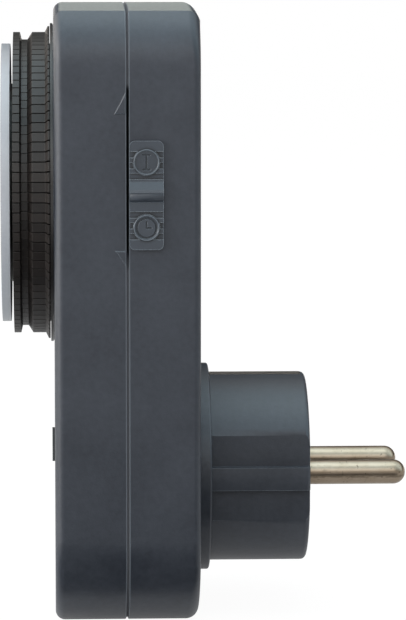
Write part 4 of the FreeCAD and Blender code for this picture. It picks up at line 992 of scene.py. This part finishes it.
def clock_ground(reach):
    """The clock's face is a little lighter than the ring round it."""
    return np.where(reach < 1.7, 0.08, 0.35)


def stroke_ground(reach):
    """The ground of the stroke is even."""
    return 0.3 + 0 * reach


slider_low, slider_high = (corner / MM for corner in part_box("override_slider"))
SLIDER_MIDDLE = (slider_low.x + slider_high.x) / 2
SLIDER_FACE = -33.55
SIGNS = [("clock_sign", 50.38, by_the_clock, clock_ground), ("stroke_sign", 62.78, always_on, stroke_ground)]
for name, height, sign, ground in SIGNS:
    disc = sign_disc(name, (SLIDER_MIDDLE, SLIDER_FACE, height), sign, ground)
    piece(disc, "slider", slider_plastic, smooth=True)

# %% [markdown]
# ## The ridge of the grip
# A finger pushes the slide switch at a grip between the islands. Its crest is rounded and worn, so a bar with
# an oval section lies along it, and the attribute mark is below 0 where the bar looks up:
# a painted highlight on its upper side.

# %% Ridge
RIDGE_REACH = 0.5
RIDGE_HEIGHT = 0.85
RIDGE_MIDDLE = 56.4
END_GAP = 0.02


def ridge(name):
    """A rounded bar along X: in section a cosine out of the face and a sine up, its ends drawn in."""
    left, right = slider_low.x + END_GAP, slider_high.x - END_GAP
    turn = np.linspace(0, 2 * np.pi, 40, endpoint=False)
    ends = np.array([left, left + 0.06, left + 0.2, right - 0.2, right - 0.06, right])
    full = np.array([0.0, 0.7, 1.0, 1.0, 0.7, 0.0])[:, None]
    along = ends[:, None] + 0 * turn
    out = slider_low.y + RIDGE_REACH - RIDGE_REACH * full * np.cos(turn)
    up = RIDGE_MIDDLE + RIDGE_HEIGHT * full * np.sin(turn)
    mesh = skin(name, np.stack([along, out, up], axis=-1) * MM)
    # A painted highlight where the bar faces up.
    set_painted_shade_and_highlight(mesh, -0.9 * smooth_step(read(mesh, "normal")[:, 2], 0.25, 0.7))
    return mesh


piece(ridge("grip_ridge"), "slider", slider_plastic, smooth=True)

# %% [markdown]
# ## The collar under the dial's lip
# The dial turns close to the case. A low collar on the case runs under the lip of the dial, so that no light
# passes between the two. It stops just short of the lip.

# %% Collar
COLLAR_OUTER = 31.15
COLLAR_INNER = 30.3
COLLAR_BACK = FRONT + 0.1
COLLAR_FACE = -49.885
DIAL_Z = DIAL_HEIGHT / MM


def collar(name):
    """A flat ring round the dial's axis: each of the four corners of its section is swept round."""
    turn = np.linspace(0, 2 * np.pi, 160, endpoint=False)
    radius = np.array([COLLAR_INNER, COLLAR_OUTER, COLLAR_OUTER, COLLAR_INNER])[:, None]
    along = np.array([COLLAR_BACK, COLLAR_BACK, COLLAR_FACE, COLLAR_FACE])[:, None] + 0 * turn
    rings = np.stack([along, radius * np.sin(turn), DIAL_Z + radius * np.cos(turn)], axis=-1)
    return skin(name, rings * MM, loop=True)


piece(collar("dial_collar"), "case", case_plastic)

# %% [markdown]
# ## The print on the dial
# The disc is printed in dark grey: a line for each quarter of an hour, a longer one for each hour, and the
# numbers 1 to 24. The numbers run clockwise, as the groups of tappets do, so the disc turns anticlockwise and
# they pass the arrow on the cap in order. The ink stands out by a hundredth of a millimetre or two.

# %% Places on the dial
DISC_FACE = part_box("dial_carrier")[0].x / MM
first_hour = sum(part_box("tappets_hour_01"), Vector()) / 2 / MM
second_hour = sum(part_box("tappets_hour_02"), Vector()) / 2 / MM
HOURS = 24


def clock_angle(place):
    """The angle of a place round the dial, clockwise from the top as seen from the front."""
    return math.atan2(-place.y, place.z - DIAL_Z)


step_angle = math.copysign(2 * math.pi / HOURS, clock_angle(second_hour) - clock_angle(first_hour))
start_angle = clock_angle(first_hour) - step_angle / 2
print("hour 1 starts at", round(math.degrees(start_angle), 2), "degrees")


# %% Lines of the scale
LINES_END = 26.7
HOUR_LINE = 23.6
HALF_HOUR_LINE = 25.0
QUARTER_LINE = 25.5
HOUR_HALF = 0.15
LINE_HALF = 0.09
INK_OUT = 0.015
INK_DEPTH = 0.035


def scale_lines():
    """Thin bars round the disc: each is a box whose corners are turned to its own angle, all in one array.

    A corner at radius r and s to the side lies r sin a + s cos a to the right and r cos a - s sin a up."""
    count = np.arange(QUARTERS)
    angle = start_angle + step_angle * count / 4
    hour = count % 4 == 0
    inner = np.where(hour, HOUR_LINE, np.where(count % 2 == 0, HALF_HOUR_LINE, QUARTER_LINE))
    half = np.where(hour, HOUR_HALF, LINE_HALF)
    radius = np.stack([inner, inner, 0 * inner + LINES_END, 0 * inner + LINES_END], axis=1)
    side = np.stack([-half, half, half, -half], axis=1)
    turn = angle[:, None]
    y = -(radius * np.sin(turn) + side * np.cos(turn))
    z = DIAL_Z + radius * np.cos(turn) - side * np.sin(turn)
    low = np.stack([0 * y + DISC_FACE - INK_OUT, y, z], axis=-1)
    high = low + (INK_DEPTH, 0, 0)
    corners = np.concatenate([low, high], axis=1).reshape(-1, 3) * MM
    box = np.array([[0, 1, 2, 3], [7, 6, 5, 4], [0, 4, 5, 1], [1, 5, 6, 2], [2, 6, 7, 3], [3, 7, 4, 0]])
    faces = (box[None] + 8 * count[:, None, None]).reshape(-1, 4)
    mesh = bpy.data.meshes.new("dial_lines")
    mesh.from_pydata(corners.tolist(), [], faces.tolist())
    return settle(mesh)


# %% Numbers
NUMBER_SIZE = 3.3
NUMBER_WEIGHT = 0.02
NUMBER_RADIUS = 20.9


def letters(text):
    """The outline of some characters as a thin mesh, flat on the page and centred on its origin."""
    page = bpy.data.curves.new("letters", "FONT")
    page.body = text
    page.size = NUMBER_SIZE
    page.align_x = "CENTER"
    page.align_y = "CENTER"
    page.extrude = INK_DEPTH / 2
    page.offset = NUMBER_WEIGHT
    page.resolution_u = 4
    shown = show("letters", page)
    mesh = bpy.data.meshes.new_from_object(shown.evaluated_get(bpy.context.evaluated_depsgraph_get()))
    bpy.data.objects.remove(shown)
    return mesh


def on_the_disc(mesh, angle):
    """Lays a flat mesh on the disc: its middle on the circle of numbers, its top outwards, facing the front.

    The page turns by the angle, its right side goes to -Y and its top to +Z, and its front to -X."""
    flat = read(mesh)
    right = flat[:, 0] * math.cos(angle) + flat[:, 1] * math.sin(angle)
    up = flat[:, 1] * math.cos(angle) - flat[:, 0] * math.sin(angle)
    y = -(NUMBER_RADIUS * math.sin(angle) + right)
    z = DIAL_Z + NUMBER_RADIUS * math.cos(angle) + up
    x = DISC_FACE - INK_OUT + INK_DEPTH / 2 - flat[:, 2]
    mesh.vertices.foreach_set("co", (np.column_stack([x, y, z]) * MM).ravel())
    return mesh


def joined(name, meshes):
    """One mesh in place of several."""
    work = bmesh.new()
    for mesh in meshes:
        work.from_mesh(mesh)
        bpy.data.meshes.remove(mesh)
    whole = bpy.data.meshes.new(name)
    work.to_mesh(whole)
    work.free()
    return settle(whole)


def ink_finish():
    """Dark print: slightly uneven, a little thin in places, and satin."""
    bench, end = finish("dial_ink")
    place = bench.place()
    thin = bench.noise(place, 0.0006, 3, 0.6)
    colour = bench.blend(bench.between(thin, 0.35, 0.75), linear(44, 47, 54), linear(66, 70, 78))
    return end(colour, 0.46 + thin * 0.1, thin, 0.000003)


# %% Print
dial_ink = ink_finish()
piece(scale_lines(), "dial", dial_ink)
numbers = [on_the_disc(letters(str(n + 1)), start_angle + step_angle * n) for n in range(HOURS)]
piece(joined("dial_numbers", numbers), "dial", dial_ink)
